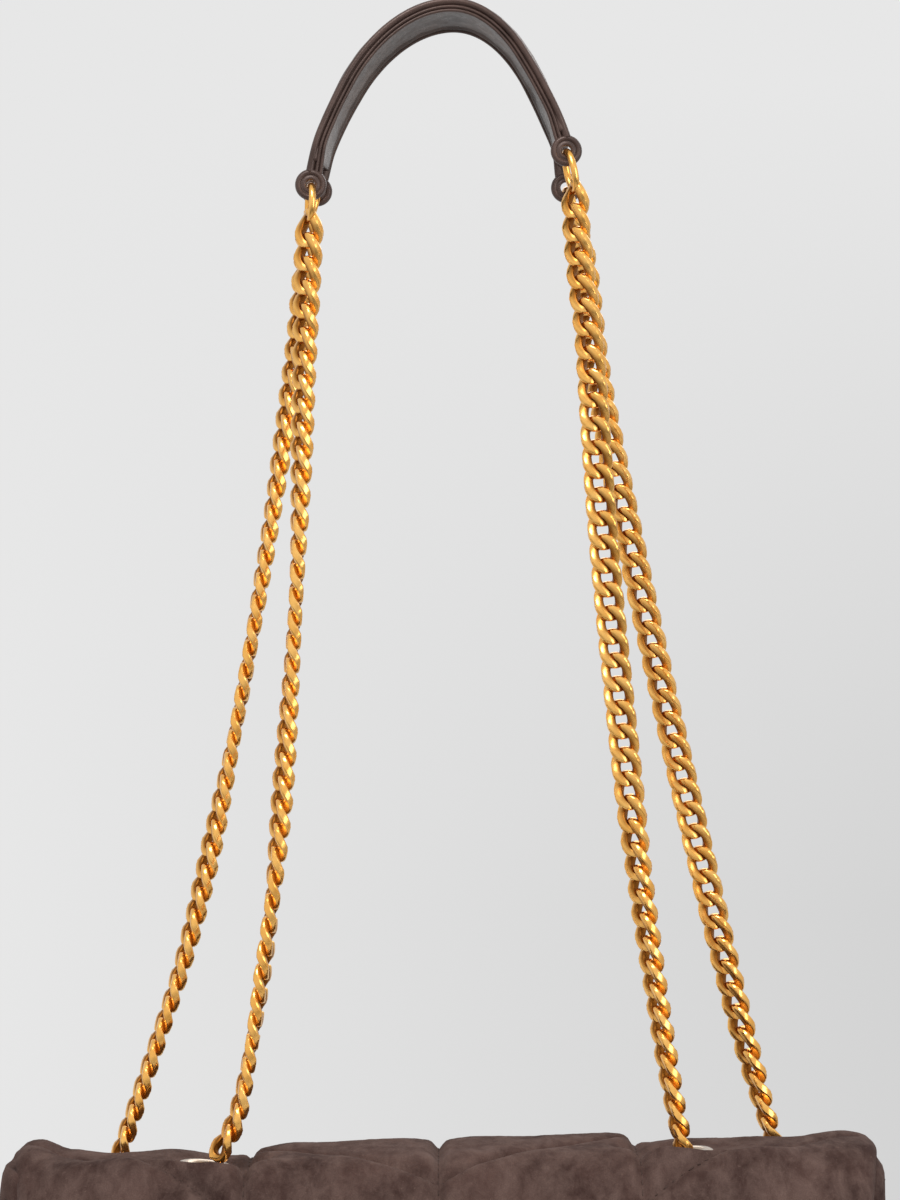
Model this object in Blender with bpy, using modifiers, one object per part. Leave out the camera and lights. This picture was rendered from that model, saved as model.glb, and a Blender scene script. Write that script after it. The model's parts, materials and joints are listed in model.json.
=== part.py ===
# Quilted suede flap bag on a chain strap with a leather shoulder pad.
# Metres, +Z up, front towards -Y. The bag stands on its base and the strap is held up straight.
import math

import bmesh
import bpy
from mathutils import Matrix, Vector

# Body
BASE_HALF_WIDTH = 0.137
MOUTH_HALF_WIDTH = 0.138
SIDE_PUFF = 0.007
BASE_HALF_DEPTH = 0.040
MOUTH_HALF_DEPTH = 0.035
BACK_PUFF = 0.0175
MOUTH_HEIGHT = 0.148
CORNER_POWER = 5.0
PANEL = 0.005
LINING = 0.001
BASE_PANEL = 0.005
BASE_BOARD = 0.002
BASE_LINING = 0.001
BASE_EDGE = 0.0015
SEAM_RATIO = 0.90
FRONT_DROP = 0.009
SIDE_DROP = 0.003

# Clearances
LAYER_GAP = 0.0004
SEAM_GAP = 0.0007
HINGE_GAP = 0.0005
SNAP_ROOM = 0.0036
WASHER_GAP = 0.0007

# Flap
CROWN_RISE = 0.019
CROWN_POWER = 4.5
FLAP_EDGE_RATIO = 0.93
FLAP_HEM_HEIGHT = 0.048
SHOULDER_RATIO = 0.75
SHOULDER_DROP = 0.020
SHOULDER_FULLNESS = 0.016
SHOULDER_TURN_RATIO = 0.12
CORNER_DROOP_RATIO = 0.35
CORNER_DROOP_POWER = 6.0
RIDGE_RATIO = 0.5
FLAP_STEPS_TOP = 12
FLAP_STEPS_FRONT = 7
FLAP_COLUMNS = 14

# Slip pocket and snap
POCKET_WIDTH_RATIO = 0.45
POCKET_FOOT = 0.045
POCKET_MOUTH = 0.112
POCKET_GAPE = 0.009
SNAP_HEIGHT = 0.080
SNAP_RADIUS = 0.009
SNAP_PLATE = 0.0014
SNAP_NUB_RADIUS = 0.003
SNAP_NUB = 0.0006

# Eyelets
EYELET_RADIUS = 0.0100
EYELET_BORE = 0.0056
EYELET_WALL = 0.0006
EYELET_LIP = 0.0013
CUTTER_SPARE = 0.020
WASHER = 0.0008
WASHER_RADIUS = 0.0090
EYELET_X = {"front": 0.077, "back": 0.112}
ROW_Y = {"front": -0.015, "back": 0.015}
SIDE_SIGN = {"left": -1, "right": 1}
BACKWARDS = Vector((0, 1, 0))

# Strap
SWING_LIFT = 0.0030
RING_RADIUS = 0.0051
RING_WIRE = 0.0012
TAB_HOLE_HEIGHT = 0.482
TAB_X = 0.0405
TAB_RADIUS = 0.0060
TAB_HOLE = 0.0032
TAB_SHEET = 0.0020
TAB_NECK = 0.0040
LINK_PITCH = 0.0077
LINK_WIDTH = 0.0094
LINK_THICKNESS = 0.0051
LINK_WAIST_RATIO = 0.78
LINK_TIP_RATIO = 0.2
TIP_BELOW_AXIS = 0.0010
TIP_GAP = 0.0006
RUN_DROP = 0.0105
RUN_BEND_RATIO = 0.28

# How far each strand bows, 0 straight and 1 a full parabola, and how its flat side turns
# on the way down, in degrees.
STRANDS = {
    "front_left": (1.05, (10, 90, 180, 215, 180)),
    "front_right": (0.95, (60, 0, 0, 20, 40)),
    "back_left": (0.48, (45, 90, 50, 70, 90)),
    "back_right": (0.28, (30, 0, 0, 10, 80)),
}

# Shoulder pad
PAD_TOP = 0.540
PAD_HALF_SPAN = 0.0435
PAD_FOOT = 0.4905
PAD_SPRING = 0.480
PAD_WIDTH = 0.034
PAD_CUP = 0.0022
PAD_ROUNDNESS = 1.3
PAD_UPPER = 0.0016
PAD_CORE = 0.0018
PAD_LOWER = 0.0012

# What follows from the sizes above
FRONT_HEIGHT = MOUTH_HEIGHT - FRONT_DROP
SIDE_HEIGHT = MOUTH_HEIGHT - SIDE_DROP
CROWN_HEIGHT = MOUTH_HEIGHT + CROWN_RISE
SHOULDER_ENDS = MOUTH_HEIGHT - SHOULDER_DROP
FLAP_STACK = SNAP_ROOM + LINING + LAYER_GAP + PANEL
FRONT_PUFF = BACK_PUFF - FLAP_STACK
WALL_FOOT = BASE_PANEL + LAYER_GAP
SIDE_SEAM_RATIO = (1 - SEAM_RATIO**CORNER_POWER) ** (1 / CORNER_POWER)
FLAP_BACK_HEIGHT = MOUTH_HEIGHT + HINGE_GAP + LINING + LAYER_GAP + PANEL
PAD_STACK = PAD_UPPER + PAD_CORE + PAD_LOWER + 2 * LAYER_GAP
RING_HEIGHT = TAB_HOLE_HEIGHT - (TAB_HOLE - RING_WIRE - LAYER_GAP) - RING_RADIUS


def mix(a, b, t):
    return a + (b - a) * t


def finish(name, colour, roughness, metallic=0.0):
    material = bpy.data.materials.new(name)
    material.use_nodes = True
    shader = material.node_tree.nodes["Principled BSDF"]
    shader.inputs["Base Color"].default_value = (*colour, 1)
    shader.inputs["Roughness"].default_value = roughness
    shader.inputs["Metallic"].default_value = metallic
    material.diffuse_color = (*colour, 1)
    return material


def suede(name):
    return finish(name, (0.122, 0.074, 0.061), 0.95)


def lining_cloth(name):
    return finish(name, (0.055, 0.038, 0.032), 0.8)


def smooth_leather(name):
    return finish(name, (0.061, 0.045, 0.040), 0.35)


def board(name):
    return finish(name, (0.30, 0.24, 0.17), 0.9)


def gold(name):
    return finish(name, (0.80, 0.42, 0.09), 0.22, 1.0)


def add(name, mesh, kind, owner=None):
    """Puts a mesh in the bag's collection, with its own material, under the empty that it moves with."""
    piece = bpy.data.objects.new(name, mesh)
    piece.data.materials.append(kind(name))
    bag.objects.link(piece)
    if owner:
        piece.parent = owner
        piece.matrix_parent_inverse = owner.matrix_world.inverted()
    return piece


def closed_mesh(name, bm):
    """Turns every face of a closed shape outwards and hands it back as a mesh."""
    bmesh.ops.recalc_face_normals(bm, faces=bm.faces[:])
    if bm.calc_volume(signed=True) < 0:
        bmesh.ops.reverse_faces(bm, faces=bm.faces[:])
    mesh = bpy.data.meshes.new(name)
    bm.to_mesh(mesh)
    bm.free()
    return mesh


def pivot(name, location, owner=None):
    empty = bpy.data.objects.new(name, None)
    empty.location = location
    bag.objects.link(empty)
    if owner:
        empty.parent = owner
        empty.matrix_parent_inverse = owner.matrix_world.inverted()
    bpy.context.view_layer.update()
    return empty


def half_width(z):
    t = z / MOUTH_HEIGHT
    return mix(BASE_HALF_WIDTH, MOUTH_HALF_WIDTH, t) + SIDE_PUFF * math.sin(math.pi * t)


def half_depth(z, puff):
    t = z / MOUTH_HEIGHT
    return mix(BASE_HALF_DEPTH, MOUTH_HALF_DEPTH, t) + puff * math.sin(math.pi * t)


def rounded(fraction):
    """How much of the other axis a rounded rectangle has left at this fraction of one axis."""
    return (1 - abs(fraction) ** CORNER_POWER) ** (1 / CORNER_POWER)


def front_wall(s, t):
    z = mix(WALL_FOOT, MOUTH_HEIGHT, t)
    across = mix(-SEAM_RATIO, SEAM_RATIO, s)
    return Vector((across * half_width(z), -rounded(across) * half_depth(z, FRONT_PUFF), z))


def back_wall(s, t):
    z = mix(WALL_FOOT, MOUTH_HEIGHT, t)
    across = mix(SEAM_RATIO, -SEAM_RATIO, s)
    return Vector((across * half_width(z), rounded(across) * half_depth(z, BACK_PUFF), z))


def side_wall(sign):
    def wall(s, t):
        z = mix(WALL_FOOT, MOUTH_HEIGHT, t)
        deep = sign * mix(-SIDE_SEAM_RATIO, SIDE_SEAM_RATIO, s)
        puff = FRONT_PUFF if deep < 0 else BACK_PUFF
        return Vector((sign * rounded(deep) * half_width(z), deep * half_depth(z, puff), z))

    return wall


def flap_front_surface(across, z):
    """The outside of the flap where it hangs in front of the body."""
    t = (z - WALL_FOOT) / (MOUTH_HEIGHT - WALL_FOOT)
    s = (across / SEAM_RATIO + 1) / 2
    return inside(front_wall, s, t, -FLAP_STACK)


def flap_top_surface(across, depth_share):
    """The flap's outside over the mouth: depth_share is 1 at its back edge and -1 above the front wall."""
    side = flap_front_surface(across, MOUTH_HEIGHT)
    rise = (CROWN_HEIGHT - FLAP_BACK_HEIGHT) * (1 - abs(depth_share) ** CROWN_POWER)
    droop = 1 - CORNER_DROOP_RATIO * abs(across) ** CORNER_DROOP_POWER
    deep = depth_share * rounded(across) * MOUTH_HALF_DEPTH
    return Vector((side.x, deep, FLAP_BACK_HEIGHT + rise * droop))


def flap_surface(s, t):
    """The flap's whole outside: t is 0 at the hem, RIDGE_RATIO on the front ridge and 1 at the back edge."""
    across = mix(-FLAP_EDGE_RATIO, FLAP_EDGE_RATIO, s)
    low = RIDGE_RATIO - SHOULDER_TURN_RATIO
    high = RIDGE_RATIO + SHOULDER_TURN_RATIO
    if t <= low:
        return flap_front_surface(across, mix(FLAP_HEM_HEIGHT, SHOULDER_ENDS, t / low))
    if t >= high:
        return flap_top_surface(across, mix(-SHOULDER_RATIO, 1, (t - high) / (1 - high)))
    step = 1e-3
    below = flap_front_surface(across, SHOULDER_ENDS)
    upward = (below - flap_front_surface(across, SHOULDER_ENDS - step)).normalized()
    above = flap_top_surface(across, -SHOULDER_RATIO)
    forward = (above - flap_top_surface(across, -SHOULDER_RATIO + step)).normalized()
    full = SHOULDER_FULLNESS
    handles = (below, below + upward * full, above + forward * full, above)
    u = (t - low) / (high - low)
    weights = ((1 - u) ** 3, 3 * u * (1 - u) ** 2, 3 * u * u * (1 - u), u**3)
    return sum((weight * handle for weight, handle in zip(weights, handles)), Vector())


def inside(surface, s, t, depth):
    """The point this deep below the surface. s runs to the right and t up, seen from outside."""
    step = 1e-3
    right = surface(s + step, t) - surface(s - step, t)
    up = surface(s, t + step) - surface(s, t - step)
    return surface(s, t) - right.cross(up).normalized() * depth


def slab(name, surface, depth, thickness, columns, rows, kind, owner=None, trim=SEAM_GAP / 2, span=(0, 1)):
    """A sheet of this thickness that lies depth below the surface, trimmed at its sides for the seams."""
    edge = (surface(0.01, 0.5) - surface(0, 0.5)).length / 0.01
    margin = trim / edge
    bm = bmesh.new()
    bmesh.ops.create_grid(bm, x_segments=columns, y_segments=rows, size=1)
    grown = bmesh.ops.extrude_face_region(bm, geom=bm.faces[:])
    raised = [v for v in grown["geom"] if isinstance(v, bmesh.types.BMVert)]
    bmesh.ops.translate(bm, vec=(0, 0, 1), verts=raised)
    for v in bm.verts:
        s = mix(margin, 1 - margin, (v.co.x + 1) / 2)
        t = mix(span[0], span[1], (v.co.y + 1) / 2)
        below = depth(s, t) if callable(depth) else depth
        v.co = inside(surface, s, t, below + (1 - v.co.z) * thickness)
    return add(name, closed_mesh(name, bm), kind, owner)


def plate(name, inset, low, high, kind):
    """A flat plate of the base's outline, drawn in by inset."""
    bm = bmesh.new()
    bmesh.ops.create_circle(bm, cap_ends=True, radius=1, segments=48)
    for v in bm.verts:
        angle = math.atan2(v.co.y, v.co.x)
        puff = FRONT_PUFF if v.co.y < 0 else BACK_PUFF
        circle = (math.cos(angle), math.sin(angle))
        x, y = (math.copysign(abs(c) ** (2 / CORNER_POWER), c) for c in circle)
        v.co = (x * (half_width(WALL_FOOT) - inset), y * (half_depth(WALL_FOOT, puff) - inset), low)
    grown = bmesh.ops.extrude_face_region(bm, geom=bm.faces[:])
    raised = [v for v in grown["geom"] if isinstance(v, bmesh.types.BMVert)]
    bmesh.ops.translate(bm, vec=(0, 0, high - low), verts=raised)
    return add(name, closed_mesh(name, bm), kind)


def turned(name, profile, steps, place, kind, owner=None, closed=True):
    """A profile of (radius, height) points, from top to bottom along its outer side, turned about Z."""
    mesh = bpy.data.meshes.new(name)
    points = [(radius, 0, height) for radius, height in profile]
    edges = [(i, i + 1) for i in range(len(points) - 1)]
    if closed:
        edges.append((len(points) - 1, 0))
    mesh.from_pydata(points, edges, [])
    piece = add(name, mesh, kind, owner)
    piece.matrix_world = place
    screw = piece.modifiers.new("Turn", "SCREW")
    screw.steps = screw.render_steps = steps
    screw.use_merge_vertices = True
    screw.merge_threshold = 1e-5
    screw.use_smooth_shade = True
    return piece


def torus(name, centre, kind, owner):
    """A round wire ring that lies in the YZ plane."""
    place = Matrix.Translation(centre) @ Matrix.Rotation(math.pi / 2, 4, "Y")
    around = 6
    profile = []
    for i in range(around):
        angle = math.pi / 2 - 2 * math.pi * i / around
        profile.append((RING_RADIUS + RING_WIRE * math.cos(angle), RING_WIRE * math.sin(angle)))
    return turned(name, profile, 16, place, kind, owner)


def cut(piece, cutters):
    for cutter in cutters:
        boolean = piece.modifiers.new("Cut", "BOOLEAN")
        boolean.operation = "DIFFERENCE"
        boolean.solver = "EXACT"
        boolean.object = cutter


def cutter(name, radius, low, high, middle, owner):
    """An upright round cutter between two heights."""
    bm = bmesh.new()
    bmesh.ops.create_cone(bm, cap_ends=True, segments=20, radius1=radius, radius2=radius, depth=high - low)
    place = Matrix.Translation(middle + Vector((0, 0, (low + high) / 2)))
    piece = bpy.data.objects.new(name, closed_mesh(name, bm))
    cutters.objects.link(piece)
    piece.parent = owner
    piece.matrix_parent_inverse = owner.matrix_world.inverted()
    piece.matrix_world = place
    piece.hide_render = True
    piece.display_type = "WIRE"
    return piece


def flap_height(x, y, depth):
    """Height of the layer this deep inside the flap, above the point (x, y) of the mouth."""
    s, t = 0.5, 0.8
    for _ in range(30):
        here = inside(flap_surface, s, t, depth)
        s += (x - here.x) / (2 * MOUTH_HALF_WIDTH)
        t += (y - here.y) / (4 * MOUTH_HALF_DEPTH)
    return here.z


def eyelet_seat(row, side):
    """The middle of an eyelet, and the heights of its flat seats above and under the flap."""
    x, y = SIDE_SIGN[side] * EYELET_X[row], ROW_Y[row]
    spokes = [(math.cos(math.pi * i / 4), math.sin(math.pi * i / 4)) for i in range(8)]
    above = min(flap_height(x + EYELET_RADIUS * u, y + EYELET_RADIUS * v, 0) for u, v in spokes)
    stack = PANEL + LAYER_GAP + LINING
    below = min(flap_height(x + WASHER_RADIUS * u, y + WASHER_RADIUS * v, stack) for u, v in spokes)
    return Vector((x, y, 0)), above, below - WASHER_GAP


def swing_height():
    """Height of the strap's swing axes, a little above the highest eyelet."""
    return max(eyelet_seat(row, side)[1] for row in ROW_Y for side in SIDE_SIGN) + EYELET_LIP + SWING_LIFT


def chain(name, route, rolls, kind, owner, flat_from=BACKWARDS):
    """A curb chain as one scalloped bar. route(t) is its middle line, and rolls turn its flat side."""
    samples = 200
    fine = [route(i / samples) for i in range(samples + 1)]
    length = sum((b - a).length for a, b in zip(fine, fine[1:]))
    links = max(2, round(length / LINK_PITCH))
    rings = 2 * links
    sides = 6
    bm = bmesh.new()
    loops = []
    for i in range(rings + 1):
        t = i / rings
        along = (route(min(1, t + 1e-3)) - route(max(0, t - 1e-3))).normalized()
        across = flat_from.cross(along).normalized()
        up = along.cross(across)
        place = t * (len(rolls) - 1)
        first = min(int(place), len(rolls) - 2)
        roll = math.radians(mix(rolls[first], rolls[first + 1], place - first))
        size = LINK_TIP_RATIO if i in (0, rings) else (1 if i % 2 else LINK_WAIST_RATIO)
        loop = []
        for k in range(sides):
            angle = 2 * math.pi * k / sides
            wide = size * LINK_WIDTH / 2 * math.cos(angle)
            thick = size * LINK_THICKNESS / 2 * math.sin(angle)
            u = wide * math.cos(roll) - thick * math.sin(roll)
            v = wide * math.sin(roll) + thick * math.cos(roll)
            loop.append(bm.verts.new(route(t) + across * u + up * v))
        loops.append(loop)
    for low, high in zip(loops, loops[1:]):
        for k in range(sides):
            bm.faces.new((low[k], low[(k + 1) % sides], high[(k + 1) % sides], high[k]))
    bm.faces.new(loops[0])
    bm.faces.new(loops[-1])
    return add(name, closed_mesh(name, bm), kind, owner)


def strand_route(row, side, bow):
    """From just under the end ring down to the swing axis above the eyelet."""
    sign, y = SIDE_SIGN[side], ROW_Y[row]
    top = RING_HEIGHT - RING_RADIUS - RING_WIRE - LAYER_GAP
    foot = swing_height() - TIP_BELOW_AXIS

    def route(t):
        out = mix(TAB_X, EYELET_X[row], (1 - bow) * t + bow * t * t)
        return Vector((sign * out, y, mix(top, foot, t)))

    return route


def run_route(side):
    """The stretch of chain under the flap, from the front eyelet down, across and up into the back one."""
    front, _, front_low = eyelet_seat("front", side)
    back, _, back_low = eyelet_seat("back", side)
    top = swing_height() - TIP_BELOW_AXIS - TIP_GAP
    low = min(front_low, back_low) - WASHER - RUN_DROP
    corners = [
        Vector((front.x, front.y, top)),
        Vector((front.x, front.y, low)),
        Vector((back.x, back.y, low)),
        Vector((back.x, back.y, top)),
    ]

    def route(t):
        u = t * 3
        leg = min(int(u), 2)
        share = u - leg
        here = corners[leg].lerp(corners[leg + 1], share)
        bend = RUN_BEND_RATIO
        if leg < 2 and share > 1 - bend:
            k = (share - (1 - bend)) / bend / 2
            a = corners[leg].lerp(corners[leg + 1], 1 - bend)
            c = corners[leg + 1].lerp(corners[leg + 2], bend)
            return (1 - k) ** 2 * a + 2 * k * (1 - k) * corners[leg + 1] + k * k * c
        if leg > 0 and share < bend:
            k = 0.5 + share / bend / 2
            a = corners[leg - 1].lerp(corners[leg], 1 - bend)
            c = corners[leg].lerp(corners[leg + 1], bend)
            return (1 - k) ** 2 * a + 2 * k * (1 - k) * corners[leg] + k * k * c
        return here

    return route


def pad_surface(s, t):
    """The outside of the shoulder pad: s runs over the arch from left to right, and t from front to back."""
    rise = PAD_TOP - PAD_SPRING
    lowest = math.asin(((PAD_FOOT - PAD_SPRING) / rise) ** (1 / PAD_ROUNDNESS))
    angle = mix(math.pi - lowest, lowest, s)
    y = mix(-PAD_WIDTH / 2, PAD_WIDTH / 2, t)
    cup = PAD_CUP * (2 * y / PAD_WIDTH) ** 2
    scale = 1 - cup / rise
    return Vector(
        (
            PAD_HALF_SPAN * math.cos(angle) * scale,
            y,
            PAD_SPRING + rise * math.sin(angle) ** PAD_ROUNDNESS * scale,
        )
    )


def tab(row, side):
    """A round leather tab with a hole, hanging from a corner of the pad."""
    name = f"pad_tab_{row}_{side}"
    curve = bpy.data.curves.new(name, "CURVE")
    curve.dimensions = "2D"
    curve.fill_mode = "BOTH"
    curve.extrude = TAB_SHEET / 2
    pad_low = min(inside(pad_surface, s, t, PAD_STACK).z for s in (0, 1) for t in (0, 0.5, 1))
    neck_top = pad_low - LAYER_GAP - TAB_HOLE_HEIGHT
    begins = math.asin(TAB_NECK / TAB_RADIUS)
    outline = [(TAB_NECK, neck_top)]
    around = 18
    for i in range(around + 1):
        angle = math.pi / 2 - begins - i * 2 * (math.pi - begins) / around
        outline.append((TAB_RADIUS * math.cos(angle), TAB_RADIUS * math.sin(angle)))
    outline.append((-TAB_NECK, neck_top))
    corners = 16
    turns = [2 * math.pi * i / corners for i in range(corners)]
    hole = [(TAB_HOLE * math.cos(angle), TAB_HOLE * math.sin(angle)) for angle in turns]
    for ring in (outline, hole):
        spline = curve.splines.new("POLY")
        spline.points.add(len(ring) - 1)
        spline.use_cyclic_u = True
        for point, (x, y) in zip(spline.points, ring):
            point.co = (x, y, 0, 1)
    flat = bpy.data.objects.new(name + "_outline", curve)
    bag.objects.link(flat)
    bpy.context.view_layer.update()
    mesh = bpy.data.meshes.new_from_object(flat.evaluated_get(bpy.context.evaluated_depsgraph_get()))
    bpy.data.objects.remove(flat)
    bm = bmesh.new()
    bm.from_mesh(mesh)
    bmesh.ops.remove_doubles(bm, verts=bm.verts[:], dist=1e-6)
    bpy.data.meshes.remove(mesh)
    piece = add(name, closed_mesh(name, bm), smooth_leather, pad)
    centre = Vector((SIDE_SIGN[side] * TAB_X, ROW_Y[row], TAB_HOLE_HEIGHT))
    piece.matrix_world = Matrix.Translation(centre) @ Matrix.Rotation(math.pi / 2, 4, "X")
    return piece


def build_body():
    lining_depth = PANEL + LAYER_GAP
    front_top = (FRONT_HEIGHT - WALL_FOOT) / (MOUTH_HEIGHT - WALL_FOOT)
    side_top = (SIDE_HEIGHT - WALL_FOOT) / (MOUTH_HEIGHT - WALL_FOOT)
    walls = {
        "front": (front_wall, 12, front_top),
        "back": (back_wall, 12, 1),
        "left": (side_wall(-1), 8, side_top),
        "right": (side_wall(1), 8, side_top),
    }
    names = {"front": "front_panel", "back": "back_panel", "left": "gusset_left", "right": "gusset_right"}
    for key, (wall, columns, top) in walls.items():
        slab(names[key], wall, 0, PANEL, columns, 7, suede, span=(0, top))
        slab("lining_" + key, wall, lining_depth, LINING, columns, 7, lining_cloth, span=(0, top))
    base = plate("base_panel", 0, 0, BASE_PANEL, suede)
    round_off = base.modifiers.new("Edge", "BEVEL")
    round_off.width = BASE_EDGE
    round_off.segments = 2
    inset = PANEL + LINING + 3 * LAYER_GAP
    board_low = BASE_PANEL + LAYER_GAP
    plate("base_board", inset, board_low, board_low + BASE_BOARD, board)
    lining_low = board_low + BASE_BOARD + LAYER_GAP
    plate("lining_base", inset, lining_low, lining_low + BASE_LINING, lining_cloth)


def build_pocket():
    """A patch pocket on the back lining: sewn down at its sides and foot, open along its top."""
    ratio = POCKET_WIDTH_RATIO / SEAM_RATIO

    def surface(s, t):
        return back_wall(mix(0.5 - ratio / 2, 0.5 + ratio / 2, s), t)

    low = (POCKET_FOOT - WALL_FOOT) / (MOUTH_HEIGHT - WALL_FOOT)
    high = (POCKET_MOUTH - WALL_FOOT) / (MOUTH_HEIGHT - WALL_FOOT)
    against = PANEL + LINING + 2 * LAYER_GAP

    def depth(s, t):
        up = min(1, max(0, (t - low) / (high - low)))
        return against + POCKET_GAPE * min(1, 2 * math.sin(math.pi * s)) * math.sqrt(up)

    slab("slip_pocket", surface, depth, LINING, 10, 5, lining_cloth, trim=0, span=(low, high))


def build_snap():
    """Two plates of a hidden snap: one on the front panel and one on the inside of the flap."""
    t = (SNAP_HEIGHT - WALL_FOOT) / (MOUTH_HEIGHT - WALL_FOOT)
    seat = inside(front_wall, 0.5, t, 0)
    outward = (inside(front_wall, 0.5, t, -1) - seat).normalized()
    turn = outward.to_track_quat("Z", "Y").to_matrix().to_4x4()
    upper_plate = SNAP_ROOM - SNAP_PLATE - 3 * LAYER_GAP
    recess = SNAP_PLATE - SNAP_NUB - LAYER_GAP
    lower = [
        (0, recess),
        (SNAP_NUB_RADIUS + LAYER_GAP, recess),
        (SNAP_NUB_RADIUS + LAYER_GAP, SNAP_PLATE),
        (SNAP_RADIUS, SNAP_PLATE),
        (SNAP_RADIUS, 0),
        (0, 0),
    ]
    upper = [
        (0, upper_plate),
        (SNAP_RADIUS, upper_plate),
        (SNAP_RADIUS, 0),
        (SNAP_NUB_RADIUS, 0),
        (SNAP_NUB_RADIUS, -SNAP_NUB),
        (0, -SNAP_NUB),
    ]
    lower_place = Matrix.Translation(seat + outward * LAYER_GAP) @ turn
    upper_place = Matrix.Translation(seat + outward * (SNAP_PLATE + 2 * LAYER_GAP)) @ turn
    turned("snap_lower", lower, 24, lower_place, gold, None, closed=False)
    turned("snap_upper", upper, 24, upper_place, gold, flap_front, closed=False)


def build_flap():
    step = 0.01
    run = (flap_surface(0.5, RIDGE_RATIO + step) - flap_surface(0.5, RIDGE_RATIO)).length / step
    split = HINGE_GAP / 2 / run
    lining_depth = PANEL + LAYER_GAP
    top_span = (RIDGE_RATIO + split, 1)
    front_span = (0, RIDGE_RATIO - split)
    layers = {}
    for name, owner, span, rows in (
        ("flap_top", flap_top, top_span, FLAP_STEPS_TOP),
        ("flap_front", flap_front, front_span, FLAP_STEPS_FRONT),
    ):
        for layer, depth, thickness, kind in (
            (name, 0, PANEL, suede),
            (name + "_lining", lining_depth, LINING, lining_cloth),
        ):
            layers[layer] = slab(
                layer, flap_surface, depth, thickness, FLAP_COLUMNS, rows, kind, owner, 0, span
            )
    holes = []
    for row in ROW_Y:
        for side in SIDE_SIGN:
            middle, above, below = eyelet_seat(row, side)
            bore = EYELET_BORE + EYELET_WALL + LAYER_GAP
            low = below - CUTTER_SPARE
            high = above + CUTTER_SPARE
            holes.append(cutter(f"hole_{row}_{side}", bore, low, high, middle, flap_top))
            seat = EYELET_RADIUS + LAYER_GAP
            holes.append(cutter(f"seat_{row}_{side}", seat, above, high, middle, flap_top))
            build_eyelet(row, side, middle, above, below)
    cut(layers["flap_top"], holes)
    cut(layers["flap_top_lining"], holes)


def build_eyelet(row, side, middle, above, below):
    """A gold eyelet through the flap, and the washer that it is set on underneath."""
    barrel = EYELET_BORE + EYELET_WALL
    lip = above + LAYER_GAP
    foot = below - WASHER - LAYER_GAP
    # The rolled lip rises from its rim to its crest and falls again into the bore.
    profile = [
        (EYELET_RADIUS, lip + EYELET_LIP * 0.35),
        (EYELET_RADIUS, lip),
        (barrel, lip),
        (barrel, foot),
        (EYELET_BORE, foot),
        (EYELET_BORE, lip + EYELET_LIP * 0.6),
        (mix(EYELET_BORE, EYELET_RADIUS, 0.35), lip + EYELET_LIP),
        (mix(EYELET_BORE, EYELET_RADIUS, 0.75), lip + EYELET_LIP * 0.9),
    ]
    turned(f"eyelet_{row}_{side}", profile, 20, Matrix.Translation(middle), gold, flap_top)
    washer = [
        (WASHER_RADIUS, below),
        (WASHER_RADIUS, below - WASHER),
        (barrel + LAYER_GAP, below - WASHER),
        (barrel + LAYER_GAP, below),
    ]
    turned(f"washer_{row}_{side}", washer, 20, Matrix.Translation(middle), gold, flap_top)


def build_strap():
    for row, owner in (("front", front_chain), ("back", back_chain)):
        for side in SIDE_SIGN:
            bow, rolls = STRANDS[f"{row}_{side}"]
            chain(f"chain_{row}_{side}", strand_route(row, side, bow), rolls, gold, owner)
            centre = Vector((SIDE_SIGN[side] * TAB_X, ROW_Y[row], RING_HEIGHT))
            torus(f"ring_{row}_{side}", centre, gold, owner)
            tab(row, side)
    for side in SIDE_SIGN:
        between_rows = SIDE_SIGN[side] * (ROW_Y["back"] - ROW_Y["front"])
        flat_from = Vector((-between_rows, EYELET_X["back"] - EYELET_X["front"], 0))
        chain(f"chain_inner_{side}", run_route(side), (90, 90), gold, flap_top, flat_from)


def build_pad():
    layers = (
        ("pad_upper", 0, PAD_UPPER, smooth_leather),
        ("pad_core", PAD_UPPER + LAYER_GAP, PAD_CORE, board),
        ("pad_lower", PAD_UPPER + PAD_CORE + 2 * LAYER_GAP, PAD_LOWER, smooth_leather),
    )
    for name, depth, thickness, kind in layers:
        slab(name, pad_surface, depth, thickness, 20, 4, kind, pad, 0)


for old in list(bpy.data.objects):
    bpy.data.objects.remove(old)

bag = bpy.data.collections.new("chain_flap_bag")
cutters = bpy.data.collections.new("cutters")
bpy.context.scene.collection.children.link(bag)
bpy.context.scene.collection.children.link(cutters)

swing_z = swing_height()
flap_top = pivot("pivot_flap_lift", (0, MOUTH_HALF_DEPTH, MOUTH_HEIGHT))
flap_front = pivot("pivot_flap_fold", flap_surface(0.5, RIDGE_RATIO), flap_top)
front_chain = pivot("pivot_strap_swing", (0, ROW_Y["front"], swing_z), flap_top)
back_chain = pivot("pivot_back_swing", (0, ROW_Y["back"], swing_z), flap_top)
pad = pivot("pivot_pad_level", (0, ROW_Y["front"], RING_HEIGHT), front_chain)

build_body()
build_pocket()
build_flap()
build_snap()
build_strap()
build_pad()
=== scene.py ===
# Looks of a quilted suede flap bag with a curb chain strap and a leather shoulder pad.
# Metres, +Z up, front towards -Y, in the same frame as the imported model.
import bisect
import json
import math

import bmesh
import bpy
from mathutils import Matrix, Vector, noise

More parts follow.
